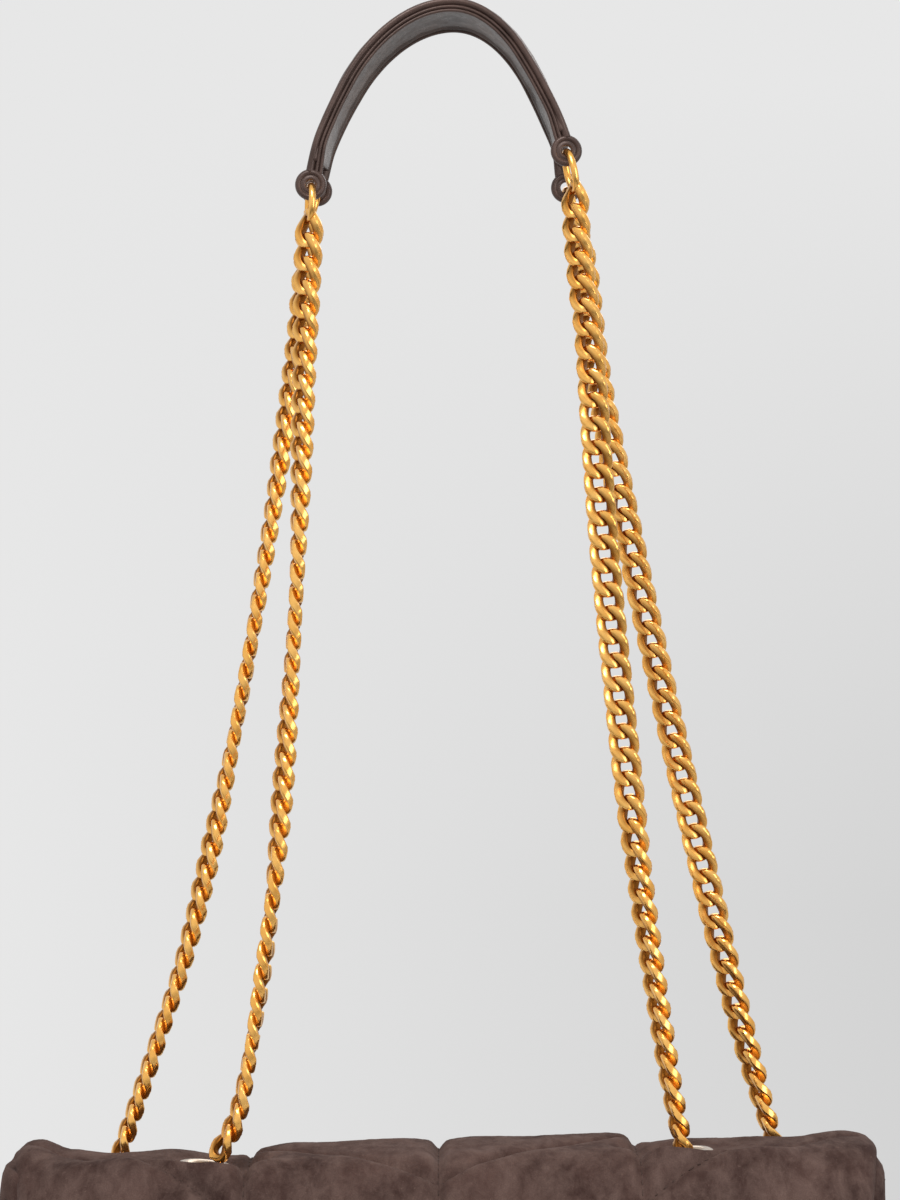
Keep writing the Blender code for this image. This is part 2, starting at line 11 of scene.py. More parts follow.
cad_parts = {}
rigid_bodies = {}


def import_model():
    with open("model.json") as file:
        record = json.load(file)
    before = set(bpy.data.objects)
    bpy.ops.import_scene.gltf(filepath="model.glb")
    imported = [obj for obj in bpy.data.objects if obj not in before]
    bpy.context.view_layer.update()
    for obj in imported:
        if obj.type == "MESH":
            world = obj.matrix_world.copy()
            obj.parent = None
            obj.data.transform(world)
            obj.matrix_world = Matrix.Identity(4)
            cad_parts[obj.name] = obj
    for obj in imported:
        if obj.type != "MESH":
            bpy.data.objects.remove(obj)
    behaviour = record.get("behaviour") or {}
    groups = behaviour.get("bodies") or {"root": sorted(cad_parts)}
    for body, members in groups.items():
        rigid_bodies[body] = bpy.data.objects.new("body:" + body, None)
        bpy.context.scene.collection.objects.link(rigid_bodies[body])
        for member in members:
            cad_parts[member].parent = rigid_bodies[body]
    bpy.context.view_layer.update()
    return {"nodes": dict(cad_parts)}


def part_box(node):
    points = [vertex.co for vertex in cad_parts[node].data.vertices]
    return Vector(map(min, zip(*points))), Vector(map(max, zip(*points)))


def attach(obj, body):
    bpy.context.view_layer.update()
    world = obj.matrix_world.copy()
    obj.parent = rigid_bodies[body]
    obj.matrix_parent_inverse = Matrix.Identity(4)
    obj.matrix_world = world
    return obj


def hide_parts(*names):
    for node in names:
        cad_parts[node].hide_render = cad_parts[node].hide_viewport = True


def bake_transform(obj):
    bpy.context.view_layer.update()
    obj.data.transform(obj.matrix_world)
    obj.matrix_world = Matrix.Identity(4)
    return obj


for old in list(bpy.data.objects):
    bpy.data.objects.remove(old)

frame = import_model()

# The body and flap, as in the part's source
BASE_HALF_WIDTH = 0.137
MOUTH_HALF_WIDTH = 0.138
SIDE_PUFF = 0.007
BASE_HALF_DEPTH = 0.040
MOUTH_HALF_DEPTH = 0.035
FRONT_PUFF = 0.0075
BACK_PUFF = 0.0175
MOUTH_HEIGHT = 0.148
CORNER_POWER = 5.0
PANEL = 0.005
SEAM_RATIO = 0.90
FRONT_HEIGHT = 0.139
FLAP_STACK = 0.0100
CROWN_HEIGHT = 0.167
CROWN_POWER = 4.5
FLAP_BACK_HEIGHT = 0.1549
FLAP_HEM_HEIGHT = 0.048
SHOULDER_RATIO = 0.75
SHOULDER_ENDS = 0.128
SHOULDER_FULLNESS = 0.016
SHOULDER_TURN_RATIO = 0.12
CORNER_DROOP_RATIO = 0.12
CORNER_DROOP_POWER = 6.0
RIDGE_RATIO = 0.5

# How the soft bag differs from its plain solids
SIDE_FULLNESS = 0.047
SIDE_FULLNESS_DEPTH = 0.040
GUSSET_HEIGHT = 0.1630
GUSSET_BULGE = 0.0080
RIGHT_BULGE_SHARE = 0.72
GUSSET_CREST = 0.0212
GUSSET_FOLD = 0.0045
GUSSET_FOLD_WIDTH = 0.009
SEAM_PINCH = 0.0022
SEAM_PINCH_WIDTH = 0.0032
FRONT_CORNER_HEIGHT = 0.1540
BACK_CORNER_HEIGHT = 0.1545
LEAN = 0.0023
LEAN_REACH = 0.100
FLAP_EDGES = (-0.936, 0.940)
BACK_POWER = 2.0
BACK_TUCK = 0.0062
BACK_SINK = 0.0030
BACK_CORNER_SINK = 0.0035

# Where such a change begins and where it is whole, as heights
SOFT_TOP = (0.135, 0.152)
LEANING_FLAP = (0.100, 0.150)
LEANING_BODY = (0.130, 0.150)
GUSSET_SWELL = (0.085, 0.147)
GUSSET_FOLD_RISE = (0.060, 0.150)

# The same as distances from the middle, and then as depths towards the back
SINKING_CORNERS = (0.112, 0.132)
TUCKED_CORNERS = (0.110, 0.136)
FLATTER_ENDS = (0.085, 0.120)
BEHIND_ROLL = (-0.030, -0.010)
SINKING_BACK = (0.012, 0.032)
TUCKED_BACK = (0.006, 0.028)

# How far the crown stands over its plain shape at each distance from the middle, both in millimetres
SETTLING = (
    (-134, 1.8), (-122, -1.3), (-108, -2.9), (-92, -3.3), (-70, -5.2), (-61, -2.8),
    (-48, -1.7), (-28, -1.9), (0, -2.0), (14, -2.4), (40, -2.0), (58, -1.8),
    (67, -4.5), (84, -4.2), (110, -2.1), (130, 0.0), (138, -0.4),
)

# How far the padded roll before the eyelets stands up at each distance from the middle
FRONT_ROLL = (
    (-134, 0.5), (-118, 3.5), (-102, 5.2), (-88, 4.6), (-76, 4.2), (-62, 2.4), (-45, 0.3),
    (45, 0.3), (60, 2.6), (72, 5.0), (84, 4.6), (100, 3.4), (120, 1.2), (138, 0.0),
)
FRONT_ROLL_PLACE = -0.0285
FRONT_ROLL_WIDTH = 0.0085

# Quilting: upright seams, and a wide V with its point on the middle seam
UPRIGHT_SEAMS = (-0.0640, -0.0022, 0.0625)
V_POINT = 0.0134
V_SLOPE = 0.60
V_PITCH = 0.0493
PUFF = 0.0026
PUFF_REACH = 0.0135
LIP_STEEPNESS = 2.1
SEAM_SINK = 0.0012
CREASE = 0.0017
CREASE_WIDTH = 0.0016
PUCKER = 0.00042
PUCKER_REACH = 0.008
DENT = 0.00050
CRUMPLE = 0.00012
BODY_QUILT_STRENGTH = 1.6
FRONT_QUILT_STRENGTH = 1.7
BODY_QUILT_TOP = 0.149
QUILT_EDGE_FADE = 0.008
THINNEST_EDGE_SHARE = 0.22
STITCH_PITCH = 0.0036
STITCH_SIZE = (0.0012, 0.00026, 0.00022)
PIPING_RADIUS = 0.0014

# How far inside the padding a lining's two faces lie
FLAP_LINING = (0.0004, 0.0013)
BODY_LINING = (0.0004, 0.0012)

# Eyelets and washers: how they lie in the soft flap, and their profiles as (radius, height)
SINK = {"front": 0.0020, "back": 0.0050}
EYELET_FLANGE = 0.0013
EYELET_TILT = math.radians(7)
EYELET_FLAT = 0.0104
EYELET_REACH = (0.0260, 0.0145)
FLAP_HOLE = 0.0072
EYELET_LIP = (
    (0.0100, -0.0004), (0.0101, 0.0001), (0.0098, 0.0006), (0.0091, 0.0010), (0.0081, 0.0012),
    (0.0070, 0.0010), (0.0062, 0.0005), (0.0057, -0.0003), (0.0056, -0.0012),
)
EYELET_BARREL = (0.0056, 0.0062)
WASHER_RING = (
    (0.0090, -0.0001), (0.0090, -0.0006), (0.0087, -0.0009), (0.0068, -0.0009),
    (0.0066, -0.0006), (0.0066, 0.0), (0.0068, 0.0001), (0.0088, 0.0001),
)

# Chain
LINK_PITCH = 0.0077
LINK_WIRE = 0.0027
LINK_DEPTH = 0.0032
LINK_WIDTH = 0.0095
LINK_FLAT = 0.00235
LINK_TWIST = math.radians(-45)
LINK_EDGE = math.radians(30)
# How far out from a link's middle the painted shade in its hollow reaches, and over how much it fades
RECESS_SHADE_RIM = 1.02
RECESS_SHADE_FADE = 0.22
RING_WIRE = 0.00115
RING_WIDE = {"front": 0.0047, "back": 0.0050}
RING_TURN = math.radians(-11)

# Each strand: points (x, z) down its middle line in millimetres, and how its flat side turns
# away from the front on the way down, in degrees.
STRANDS = {
    "front_left": (
        (
            (-43.7, 467.8), (-45.3, 426), (-47.5, 358.6), (-51.1, 300.3),
            (-56.4, 242.1), (-65.5, 183.9), (-73.0, 165.0),
        ),
        (35, 58, 86, 62, 98, 66),
    ),
    "front_right": (
        (
            (42.0, 477.4), (42.4, 465), (44.2, 447), (46.7, 426.5), (50.8, 368.3),
            (56.0, 314.9), (62.6, 256.7), (71.2, 198.5), (77.3, 165.0),
        ),
        (44, 32, 0, 0, 4, 52, 64, 76),
    ),
    "back_left": (
        (
            (-45.6, 471.5), (-46.8, 455.0), (-51.0, 419.2), (-59.9, 359.0),
            (-71.3, 293.9), (-84.6, 233.7), (-97.0, 193.6), (-108.8, 158.5),
        ),
        (48, 60, 75, 90, 60, 76, 72),
    ),
    "back_right": (
        (
            (42.8, 471.6), (46.8, 454.5), (50.9, 419.0), (60.6, 369.1),
            (72.6, 313.9), (86.3, 253.8), (98.4, 203.6), (110.0, 162.0),
        ),
        (58, 42, 20, 28, 0, 42, 78),
    ),
}
ROW_Y = {"front": -0.015, "back": 0.015}
SIDE_SIGN = {"left": -1, "right": 1}

# Shoulder pad
PAD_TOP = 0.540
PAD_MIDDLE = -0.0008
PAD_HALF_SPAN = 0.0428
PAD_SPRING = 0.480
PAD_FEET = {"front_left": 0.4860, "front_right": 0.4960, "back_left": 0.4880, "back_right": 0.4890}
PAD_WIDTH = 0.034
PAD_CUP = 0.0024
PAD_ROUNDNESS = {"left": 1.1, "right": 1.3}
PAD_LEAN = 0.0032
PAD_UPPER = 0.0023
PAD_LOWER = 0.0017
PAD_YAW = 0.027
TABS = {
    "front_left": (-0.0434, 0.4782),
    "front_right": (0.0392, 0.4892),
    "back_left": (-0.0428, 0.4805),
    "back_right": (0.0404, 0.4816),
}
TAB_HOLE = {"front": 0.0015, "back": 0.0019}

# The rolls across the pad's edge, from its outside in: where each begins and ends, its height and its points
TRIM_ROLLS = ((0.0, 1.0, 0.0016, 10), (-0.52, 0.0, 0.0012, 8), (-1.0, -0.52, 0.0009, 7))
TRIM_HALF_WIDTH = 0.0023
TRIM_NECK_HALF_WIDTH = 0.0027
TRIM_NECK_LENGTH = 0.011

# The two rolls round a tab's hole, as (radius, height)
TAB_ROLLS = (
    (0.0027, 0.0013), (0.0030, 0.0007), (0.0033, 0.0011), (0.0037, 0.0015),
    (0.0042, 0.0015), (0.0047, 0.0011), (0.0050, 0.0005), (0.0051, 0.0),
)


def mix(a, b, t):
    return a + (b - a) * t


def clamp(value, low=0.0, high=1.0):
    return min(high, max(low, value))


def ease(low, high, value):
    t = clamp((value - low) / (high - low))
    return t * t * (3 - 2 * t)


def linear(red, green, blue):
    """A colour written as a screen shows it, 0 to 255, as the light that it stands for."""
    return tuple(((c / 255 + 0.055) / 1.055) ** 2.4 for c in (red, green, blue)) + (1.0,)


# Node groups and materials


def node(tree, kind, inputs=None, **settings):
    made = tree.nodes.new(kind)
    for key, value in settings.items():
        setattr(made, key, value)
    for key, value in (inputs or {}).items():
        if isinstance(value, bpy.types.NodeSocket):
            tree.links.new(value, made.inputs[key])
        else:
            made.inputs[key].default_value = value
    return made


def blend_colours(tree, share, first, second):
    return node(tree, "ShaderNodeMix", {0: share, 6: first, 7: second}, data_type="RGBA").outputs[2]


def arithmetic(tree, operation, first, second=0.0):
    return node(tree, "ShaderNodeMath", {0: first, 1: second}, operation=operation).outputs[0]


def new_group(name, colours, values, outputs=("Colour", "Roughness", "Normal")):
    """A node group with colours and numbers to give it, and what a material takes from it."""
    tree = bpy.data.node_groups.new(name, "ShaderNodeTree")
    kinds = {"Colour": "NodeSocketColor", "Roughness": "NodeSocketFloat", "Normal": "NodeSocketVector"}
    for label in colours:
        tree.interface.new_socket(label, in_out="INPUT", socket_type="NodeSocketColor")
    for label, value in values.items():
        socket = tree.interface.new_socket(label, in_out="INPUT", socket_type="NodeSocketFloat")
        socket.default_value = value
    for label in outputs:
        tree.interface.new_socket(label, in_out="OUTPUT", socket_type=kinds[label])
    return tree, tree.nodes.new("NodeGroupInput").outputs, tree.nodes.new("NodeGroupOutput").inputs


def object_place(tree, scale=(1, 1, 1)):
    coords = node(tree, "ShaderNodeTexCoord").outputs["Object"]
    return node(tree, "ShaderNodeMapping", {"Vector": coords, "Scale": scale}).outputs["Vector"]


def clouds(tree, place, scale, detail=3.0, roughness=0.55, distortion=0.0):
    inputs = {"Vector": place, "Scale": scale, "Detail": detail}
    inputs |= {"Roughness": roughness, "Distortion": distortion}
    return node(tree, "ShaderNodeTexNoise", inputs).outputs["Fac"]


def spread(tree, value, low, high, to_low=0.0, to_high=1.0):
    inputs = {"Value": value, "From Min": low, "From Max": high, "To Min": to_low, "To Max": to_high}
    return node(tree, "ShaderNodeMapRange", inputs).outputs["Result"]


def bump(tree, height, strength, distance, under=None):
    """The normal of a bumpy surface, laid over that of a broader bump if one is given."""
    inputs = {"Strength": strength, "Distance": distance, "Height": height}
    if under is not None:
        inputs["Normal"] = under
    return node(tree, "ShaderNodeBump", inputs).outputs["Normal"]


def nap_group():
    """Suede: patches where the nap lies one way or the other, brushed streaks, and fine fibres."""
    tree, given, out = new_group("brushed_nap", ("Dark", "Middle", "Light"), {"Fibre Height": 0.3})
    place = object_place(tree)
    patches = spread(tree, clouds(tree, place, 30.0, 5.0, 0.62, 0.25), 0.36, 0.64)
    strokes = clouds(tree, object_place(tree, (0.9, 0.6, 0.55)), 170.0, 5.0, 0.66, 0.3)
    streaks = spread(tree, strokes, 0.36, 0.72)
    fibres = clouds(tree, place, 2600.0, 2.0, 0.6)
    speckle = clouds(tree, place, 900.0, 3.0, 0.7)
    colour = blend_colours(tree, patches, given["Dark"], given["Middle"])
    brushed = arithmetic(tree, "MULTIPLY", streaks, 0.62)
    colour = blend_colours(tree, brushed, colour, given["Light"])
    fleck = spread(tree, speckle, 0.62, 0.74, 0.0, 0.45)
    colour = blend_colours(tree, fleck, colour, given["Light"])
    brightness = spread(tree, fibres, 0.3, 0.7, 0.86, 1.14)
    fuzz = node(tree, "ShaderNodeHueSaturation", {"Value": brightness, "Color": colour})
    tree.links.new(fuzz.outputs["Color"], out["Colour"])
    tree.links.new(spread(tree, streaks, 0.0, 1.0, 0.98, 0.86), out["Roughness"])
    broad = bump(tree, streaks, 0.35, 0.0006)
    tree.links.new(bump(tree, fibres, given["Fibre Height"], 0.00025, broad), out["Normal"])
    return tree


def grain_group():
    """Smooth leather: fine pebbled grain, faint creases and a slightly uneven polish."""
    tree, given, out = new_group("leather_grain", ("Dark", "Light"), {"Polish": 0.3, "Grain Height": 0.3})
    place = object_place(tree)
    cells = node(tree, "ShaderNodeTexVoronoi", {"Vector": place, "Scale": 1500.0}).outputs["Distance"]
    creases = clouds(tree, object_place(tree, (1.0, 1.0, 2.6)), 240.0, 5.0, 0.6, 1.4)
    shade = spread(tree, clouds(tree, place, 70.0, 4.0, 0.6), 0.35, 0.68)
    tree.links.new(blend_colours(tree, shade, given["Dark"], given["Light"]), out["Colour"])
    uneven = spread(tree, clouds(tree, place, 330.0, 4.0, 0.65), 0.3, 0.7, -0.07, 0.09)
    tree.links.new(arithmetic(tree, "ADD", given["Polish"], uneven), out["Roughness"])
    broad = bump(tree, creases, 0.30, 0.0003)
    tree.links.new(bump(tree, cells, given["Grain Height"], 0.00012, broad), out["Normal"])
    return tree


def metal_group():
    """Plated metal: a little warm unevenness, hairline scratches, and recesses that are duller and darkened
    with painted shade.
    """
    shades = ("Bright", "Deep", "Painted Shade")
    tree, given, out = new_group("plated_metal", shades, {"Recess Shade": 0.0, "Polish": 0.15})
    place = object_place(tree)
    uneven = spread(tree, clouds(tree, place, 160.0, 3.0, 0.6), 0.35, 0.70)
    worn = blend_colours(tree, uneven, given["Bright"], given["Deep"])
    # Painted shade: the colour darkens towards the shade colour where the links hide each other from the
    # light
    tree.links.new(blend_colours(tree, given["Recess Shade"], worn, given["Painted Shade"]), out["Colour"])
    hairlines = clouds(tree, object_place(tree, (1.0, 1.0, 0.12)), 5200.0, 2.0, 0.7)
    marks = arithmetic(tree, "ADD", spread(tree, hairlines, 0.35, 0.75, -0.02, 0.06), given["Polish"])
    dull = arithmetic(tree, "MULTIPLY", given["Recess Shade"], 0.25)
    tree.links.new(arithmetic(tree, "ADD", marks, dull), out["Roughness"])
    wave = clouds(tree, place, 260.0, 2.0, 0.5)
    tree.links.new(bump(tree, wave, 0.08, 0.0003), out["Normal"])
    return tree


def weave_group():
    """Woven cloth: warp and weft threads, each a fraction of a millimetre."""
    tree, given, out = new_group("plain_weave", ("Dark", "Light"), {"Threads": 1300.0}, ("Colour", "Normal"))
    place = object_place(tree)
    inputs = {"Vector": place, "Scale": given["Threads"], "Distortion": 0.6, "Detail": 1.0}
    warp = node(tree, "ShaderNodeTexWave", inputs, bands_direction="X").outputs["Fac"]
    weft = node(tree, "ShaderNodeTexWave", inputs, bands_direction="Z").outputs["Fac"]
    threads = arithmetic(tree, "MULTIPLY", warp, weft)
    soft = spread(tree, clouds(tree, place, 60.0, 3.0), 0.3, 0.7, 0.0, 0.5)
    tone = arithmetic(tree, "ADD", threads, soft)
    tree.links.new(blend_colours(tree, tone, given["Dark"], given["Light"]), out["Colour"])
    tree.links.new(bump(tree, threads, 0.4, 0.0002), out["Normal"])
    return tree


def material(name, group, values, metallic=0.0, roughness=None, **fixed):
    """A Principled material whose changing inputs come from a group, and whose constants sit on it."""
    made = bpy.data.materials.new(name)
    made.use_nodes = True
    tree = made.node_tree
    shader = tree.nodes["Principled BSDF"]
    effect = node(tree, "ShaderNodeGroup", node_tree=group)
    for key, value in values.items():
        effect.inputs[key].default_value = value
    for source, target in (("Colour", "Base Color"), ("Roughness", "Roughness"), ("Normal", "Normal")):
        if source in effect.outputs:
            tree.links.new(effect.outputs[source], shader.inputs[target])
    shader.inputs["Metallic"].default_value = metallic
    if roughness is not None:
        shader.inputs["Roughness"].default_value = roughness
    for key, value in fixed.items():
        shader.inputs[key.replace("_", " ")].default_value = value
    made.diffuse_color = next(iter(values.values()))
    return made


# The tint of the gloss on the pad's leather
WARM_SHEEN = (1.0, 0.80, 0.72, 1.0)

nap, grain, plated, weave = nap_group(), grain_group(), metal_group(), weave_group()
SUEDE = material(
    "grey_brown_suede",
    nap,
    {
        "Dark": linear(58, 41, 37),
        "Middle": linear(87, 66, 60),
        "Light": linear(120, 98, 90),
        "Fibre Height": 0.35,
    },
    Sheen_Weight=0.12,
    Sheen_Roughness=0.45,
    Sheen_Tint=linear(170, 150, 142),
    Specular_IOR_Level=0.12,
)
THREAD = material(
    "tonal_thread",
    nap,
    {
        "Dark": linear(64, 48, 43),
        "Middle": linear(80, 62, 56),
        "Light": linear(102, 84, 77),
        "Fibre Height": 0.2,
    },
    Specular_IOR_Level=0.3,
)
LINING = material(
    "dark_twill_lining",
    weave,
    {"Dark": linear(44, 35, 32), "Light": linear(84, 71, 66), "Threads": 900.0},
    roughness=0.82,
    Sheen_Weight=0.15,
    Specular_IOR_Level=0.25,
)
PAD_SKIN = material(
    "dark_brown_leather",
    grain,
    {"Dark": linear(59, 46, 42), "Light": linear(86, 68, 62), "Polish": 0.38, "Grain Height": 0.18},
    Specular_IOR_Level=0.45,
    Specular_Tint=WARM_SHEEN,
    Coat_Weight=0.04,
    Coat_Roughness=0.25,
)
PAD_UNDER = material(
    "polished_brown_leather",
    grain,
    {"Dark": linear(46, 36, 32), "Light": linear(92, 75, 67), "Polish": 0.32, "Grain Height": 0.2},
    Specular_IOR_Level=0.30,
    Specular_Tint=WARM_SHEEN,
    Coat_Weight=0.04,
    Coat_Roughness=0.20,
)
GOLD = material(
    "gold_plate",
    plated,
    {
        "Bright": (0.97, 0.55, 0.160, 1),
        "Deep": (0.88, 0.43, 0.090, 1),
        # The colour of the painted shade between the links
        "Painted Shade": (0.26, 0.095, 0.014, 1),
        "Polish": 0.21,
    },
    metallic=1.0,
)
PALE_GOLD = material(
    "pale_gold_plate",
    plated,
    {
        "Bright": (0.54, 0.44, 0.35, 1),
        "Deep": (0.40, 0.31, 0.23, 1),
        # The colour of painted shade; its mask stays 0 on this material, so none is painted
        "Painted Shade": (0.30, 0.20, 0.12, 1),
        "Polish": 0.20,
    },
    metallic=1.0,
)


def paint_recess_shade(kind):
    """Lets the links' own recess values paint shade on the metal between them, where the links shade each
    other.
    """
    tree = kind.node_tree
    effect = next(n for n in tree.nodes if n.type == "GROUP")
    values = node(tree, "ShaderNodeAttribute", attribute_name="recess_shade")
    tree.links.new(values.outputs["Fac"], effect.inputs["Recess Shade"])


# The chain's gold gets painted shade in the hollows between its links
paint_recess_shade(GOLD)
BOARD = material(
    "pressed_board",
    weave,
    {"Dark": linear(134, 112, 86), "Light": linear(168, 148, 120), "Threads": 500.0},
    roughness=0.9,
)


# Making pieces


def finished(name, bm, kind):
    """The mesh as an object of its own, with its faces outwards."""
    bmesh.ops.recalc_face_normals(bm, faces=bm.faces[:])
    if bm.calc_volume(signed=True) < 0:
        bmesh.ops.reverse_faces(bm, faces=bm.faces[:])
    for face in bm.faces:
        face.smooth = True
    mesh = bpy.data.meshes.new(name)
    bm.to_mesh(mesh)
    bm.free()
    mesh.materials.append(kind)
    made = bpy.data.objects.new(name, mesh)
    bpy.context.scene.collection.objects.link(made)
    return made


def grid_of(net):
    """A net of points, given as rows, as a mesh. Where it closes on itself, points that meet become one."""
    rows, columns = len(net) - 1, len(net[0]) - 1
    bm = bmesh.new()
    bmesh.ops.create_grid(bm, x_segments=columns, y_segments=rows, size=1)
    for v in bm.verts:
        i = round((v.co.x + 1) / 2 * columns)
        j = round((v.co.y + 1) / 2 * rows)
        v.co = net[j][i]
    bmesh.ops.remove_doubles(bm, verts=bm.verts[:], dist=1e-6)
    return bm


def capped(bm):
    bmesh.ops.holes_fill(bm, edges=[e for e in bm.edges if e.is_boundary], sides=0)
    return bm


def sheet_between(outer, inner, wrap=False, holes=()):
    """A closed sheet between two nets. A hole is (x, y, radius) and goes right through, seen from above."""
    rows, columns = len(outer) - 1, len(outer[0]) - 1
    bm = bmesh.new()
    bmesh.ops.create_grid(bm, x_segments=columns, y_segments=rows, size=1)

    def place(v):
        return round((v.co.y + 1) / 2 * rows), round((v.co.x + 1) / 2 * columns)

    doomed = []
    for face in bm.faces:
        corners = [outer[j][i] for j, i in map(place, face.verts)]
        middle = sum(corners, Vector()) / len(corners)
        if any((middle.xy - Vector(hole[:2])).length < hole[2] for hole in holes):
            doomed.append(face)
    bmesh.ops.delete(bm, geom=doomed, context="FACES")
    grown = bmesh.ops.extrude_face_region(bm, geom=bm.faces[:])
    raised = {v for v in grown["geom"] if isinstance(v, bmesh.types.BMVert)}
    for v in bm.verts:
        j, i = place(v)
        v.co = (outer if v in raised else inner)[j][i]
    if wrap:
        bmesh.ops.remove_doubles(bm, verts=bm.verts[:], dist=1e-6)
    return bm


def net_normals(net, wrap=False):
    rows, columns = len(net), len(net[0])
    normals = []
    for j in range(rows):
        line = []
        for i in range(columns):
            if wrap:
                left, right = net[j][(i - 1) % (columns - 1)], net[j][(i + 1) % (columns - 1)]
            else:
                left, right = net[j][max(0, i - 1)], net[j][min(columns - 1, i + 1)]
            low, high = net[max(0, j - 1)][i], net[min(rows - 1, j + 1)][i]
            line.append((right - left).cross(high - low).normalized())
        normals.append(line)
    return normals


def moved_net(net, normals, height):
    """The net moved along its normals by height(j, i, point)."""
    return [[p + normals[j][i] * height(j, i, p) for i, p in enumerate(row)] for j, row in enumerate(net)]


def lining_nets(net, normals, depths):
    """The two faces of a lining inside a net."""
    return [moved_net(net, normals, lambda j, i, p, depth=depth: -depth) for depth in depths]


def lengths_along(points):
    """The distance along a line of points from its start to each of them."""
    reached = [0.0]
    for a, b in zip(points, points[1:]):
        reached.append(reached[-1] + (b - a).length)
    return reached


def even_shares(reached, count):
    """Shares of a sampled line that lie at even distances, from the distance to each of its samples."""
    samples = len(reached) - 1
    shares = []
    k = 0
    for j in range(count + 1):
        goal = reached[-1] * j / count
        while k < samples - 1 and reached[k + 1] < goal:
            k += 1
        shares.append(min(1.0, (k + (goal - reached[k]) / (reached[k + 1] - reached[k])) / samples))
    return shares


def curve_through(points):
    """A smooth curve through points, as a function of share 0 to 1 and its length."""
    ends = [points[0] * 2 - points[1], *points, points[-1] * 2 - points[-2]]
    samples = 400

    def raw(t):
        place = clamp(t) * (len(points) - 1)
        k = min(int(place), len(points) - 2)
        u = place - k
        a, b, c, d = ends[k : k + 4]
        bent = 2 * b + (c - a) * u + (2 * a - 5 * b + 4 * c - d) * u * u
        return 0.5 * (bent + (3 * b - a - 3 * c + d) * u**3)

    fine = [raw(i / samples) for i in range(samples + 1)]
    reached = lengths_along(fine)
    length = reached[-1]

    def even(share):
        goal = clamp(share) * length
        low = min(samples, bisect.bisect(reached, goal)) - 1
        step = reached[low + 1] - reached[low]
        return fine[low].lerp(fine[low + 1], (goal - reached[low]) / step if step else 0)

    return even, length


def round_row(centre, first, second, radius, sides):
    """A closed row of points round centre, in the plane of two directions."""
    row = []
    for i in range(sides + 1):
        angle = 2 * math.pi * (i % sides) / sides
        row.append(centre + (first * math.cos(angle) + second * math.sin(angle)) * radius)
    return row


def copies(mesh, places):
    """One mesh with a copy of the given one at each place."""
    bm = bmesh.new()
    for _ in places:
        bm.from_mesh(mesh)
    bm.verts.ensure_lookup_table()
    size = len(mesh.vertices)
    for k, place in enumerate(places):
        for v in bm.verts[k * size : (k + 1) * size]:
            v.co = place @ v.co
    return bm


def turned(profile, place, steps=64):
    """A closed profile of (radius, height) points turned about Z and put in place."""
    bm = bmesh.new()
    verts = [bm.verts.new((radius, 0, height)) for radius, height in profile]
    edges = [bm.edges.new(pair) for pair in zip(verts, verts[1:] + verts[:1])]
    bmesh.ops.spin(
        bm, geom=verts + edges, cent=(0, 0, 0), axis=(0, 0, 1), angle=2 * math.pi, steps=steps, use_merge=True
    )
    bmesh.ops.remove_doubles(bm, verts=bm.verts[:], dist=1e-7)
    bmesh.ops.transform(bm, matrix=place, verts=bm.verts[:])
    return bm


# The bag's shape


def half_width(z):
    t = z / MOUTH_HEIGHT
    return mix(BASE_HALF_WIDTH, MOUTH_HALF_WIDTH, t) + SIDE_PUFF * math.sin(math.pi * clamp(t))


def half_depth(z, puff):
    t = z / MOUTH_HEIGHT
    return mix(BASE_HALF_DEPTH, MOUTH_HALF_DEPTH, t) + puff * math.sin(math.pi * clamp(t))


def rounded(fraction):
    return max(0.0, 1 - abs(fraction) ** CORNER_POWER) ** (1 / CORNER_POWER)


def outline_point(angle):
    """The rounded outline's point at an angle, where the outline just fits from -1 to 1 both ways."""
    c, s = math.cos(angle), math.sin(angle)
    return math.copysign(abs(c) ** (2 / CORNER_POWER), c), math.copysign(abs(s) ** (2 / CORNER_POWER), s)


def front_wall(across, z):
    return Vector((across * half_width(z), -rounded(across) * half_depth(z, FRONT_PUFF), z))


def flap_front_surface(across, z):
    step = 1e-3
    right = front_wall(across + step, z) - front_wall(across - step, z)
    up = front_wall(across, z + step) - front_wall(across, z - step)
    return front_wall(across, z) + right.cross(up).normalized() * FLAP_STACK


def flap_top_surface(across, depth_share):
    side = flap_front_surface(across, MOUTH_HEIGHT)
    rise = (CROWN_HEIGHT - FLAP_BACK_HEIGHT) * (1 - abs(depth_share) ** CROWN_POWER)
    droop = 1 - CORNER_DROOP_RATIO * abs(across) ** CORNER_DROOP_POWER
    deep = depth_share * rounded(across) * MOUTH_HALF_DEPTH
    wide = 1 + SIDE_FULLNESS * max(0.0, 1 - (deep / SIDE_FULLNESS_DEPTH) ** 2) * abs(across)
    return Vector((side.x * wide, deep, FLAP_BACK_HEIGHT + rise * droop))


def flap_surface(across, t):
    """The flap's outside: across is -1 to 1 from side to side, t is 0 at the hem and 1 at the back."""
    low, high = RIDGE_RATIO - SHOULDER_TURN_RATIO, RIDGE_RATIO + SHOULDER_TURN_RATIO
    if t <= low:
        return flap_front_surface(across, mix(FLAP_HEM_HEIGHT, SHOULDER_ENDS, t / low))
    if t >= high:
        return flap_top_surface(across, mix(-SHOULDER_RATIO, 1, (t - high) / (1 - high)))
    step = 1e-3
    below = flap_front_surface(across, SHOULDER_ENDS)
    upward = (below - flap_front_surface(across, SHOULDER_ENDS - step)).normalized()
    above = flap_top_surface(across, -SHOULDER_RATIO)
    forward = (above - flap_top_surface(across, -SHOULDER_RATIO + step)).normalized()
    handles = (below, below + upward * SHOULDER_FULLNESS, above + forward * SHOULDER_FULLNESS, above)
    u = (t - low) / (high - low)
    weights = ((1 - u) ** 3, 3 * u * (1 - u) ** 2, 3 * u * u * (1 - u), u**3)
    return sum((weight * handle for weight, handle in zip(weights, handles)), Vector())


def lean(x):
    """The right end of the bag's soft top stands a little higher than its left end."""
    return LEAN * math.sin(math.pi / 2 * clamp(x / LEAN_REACH, -1, 1))


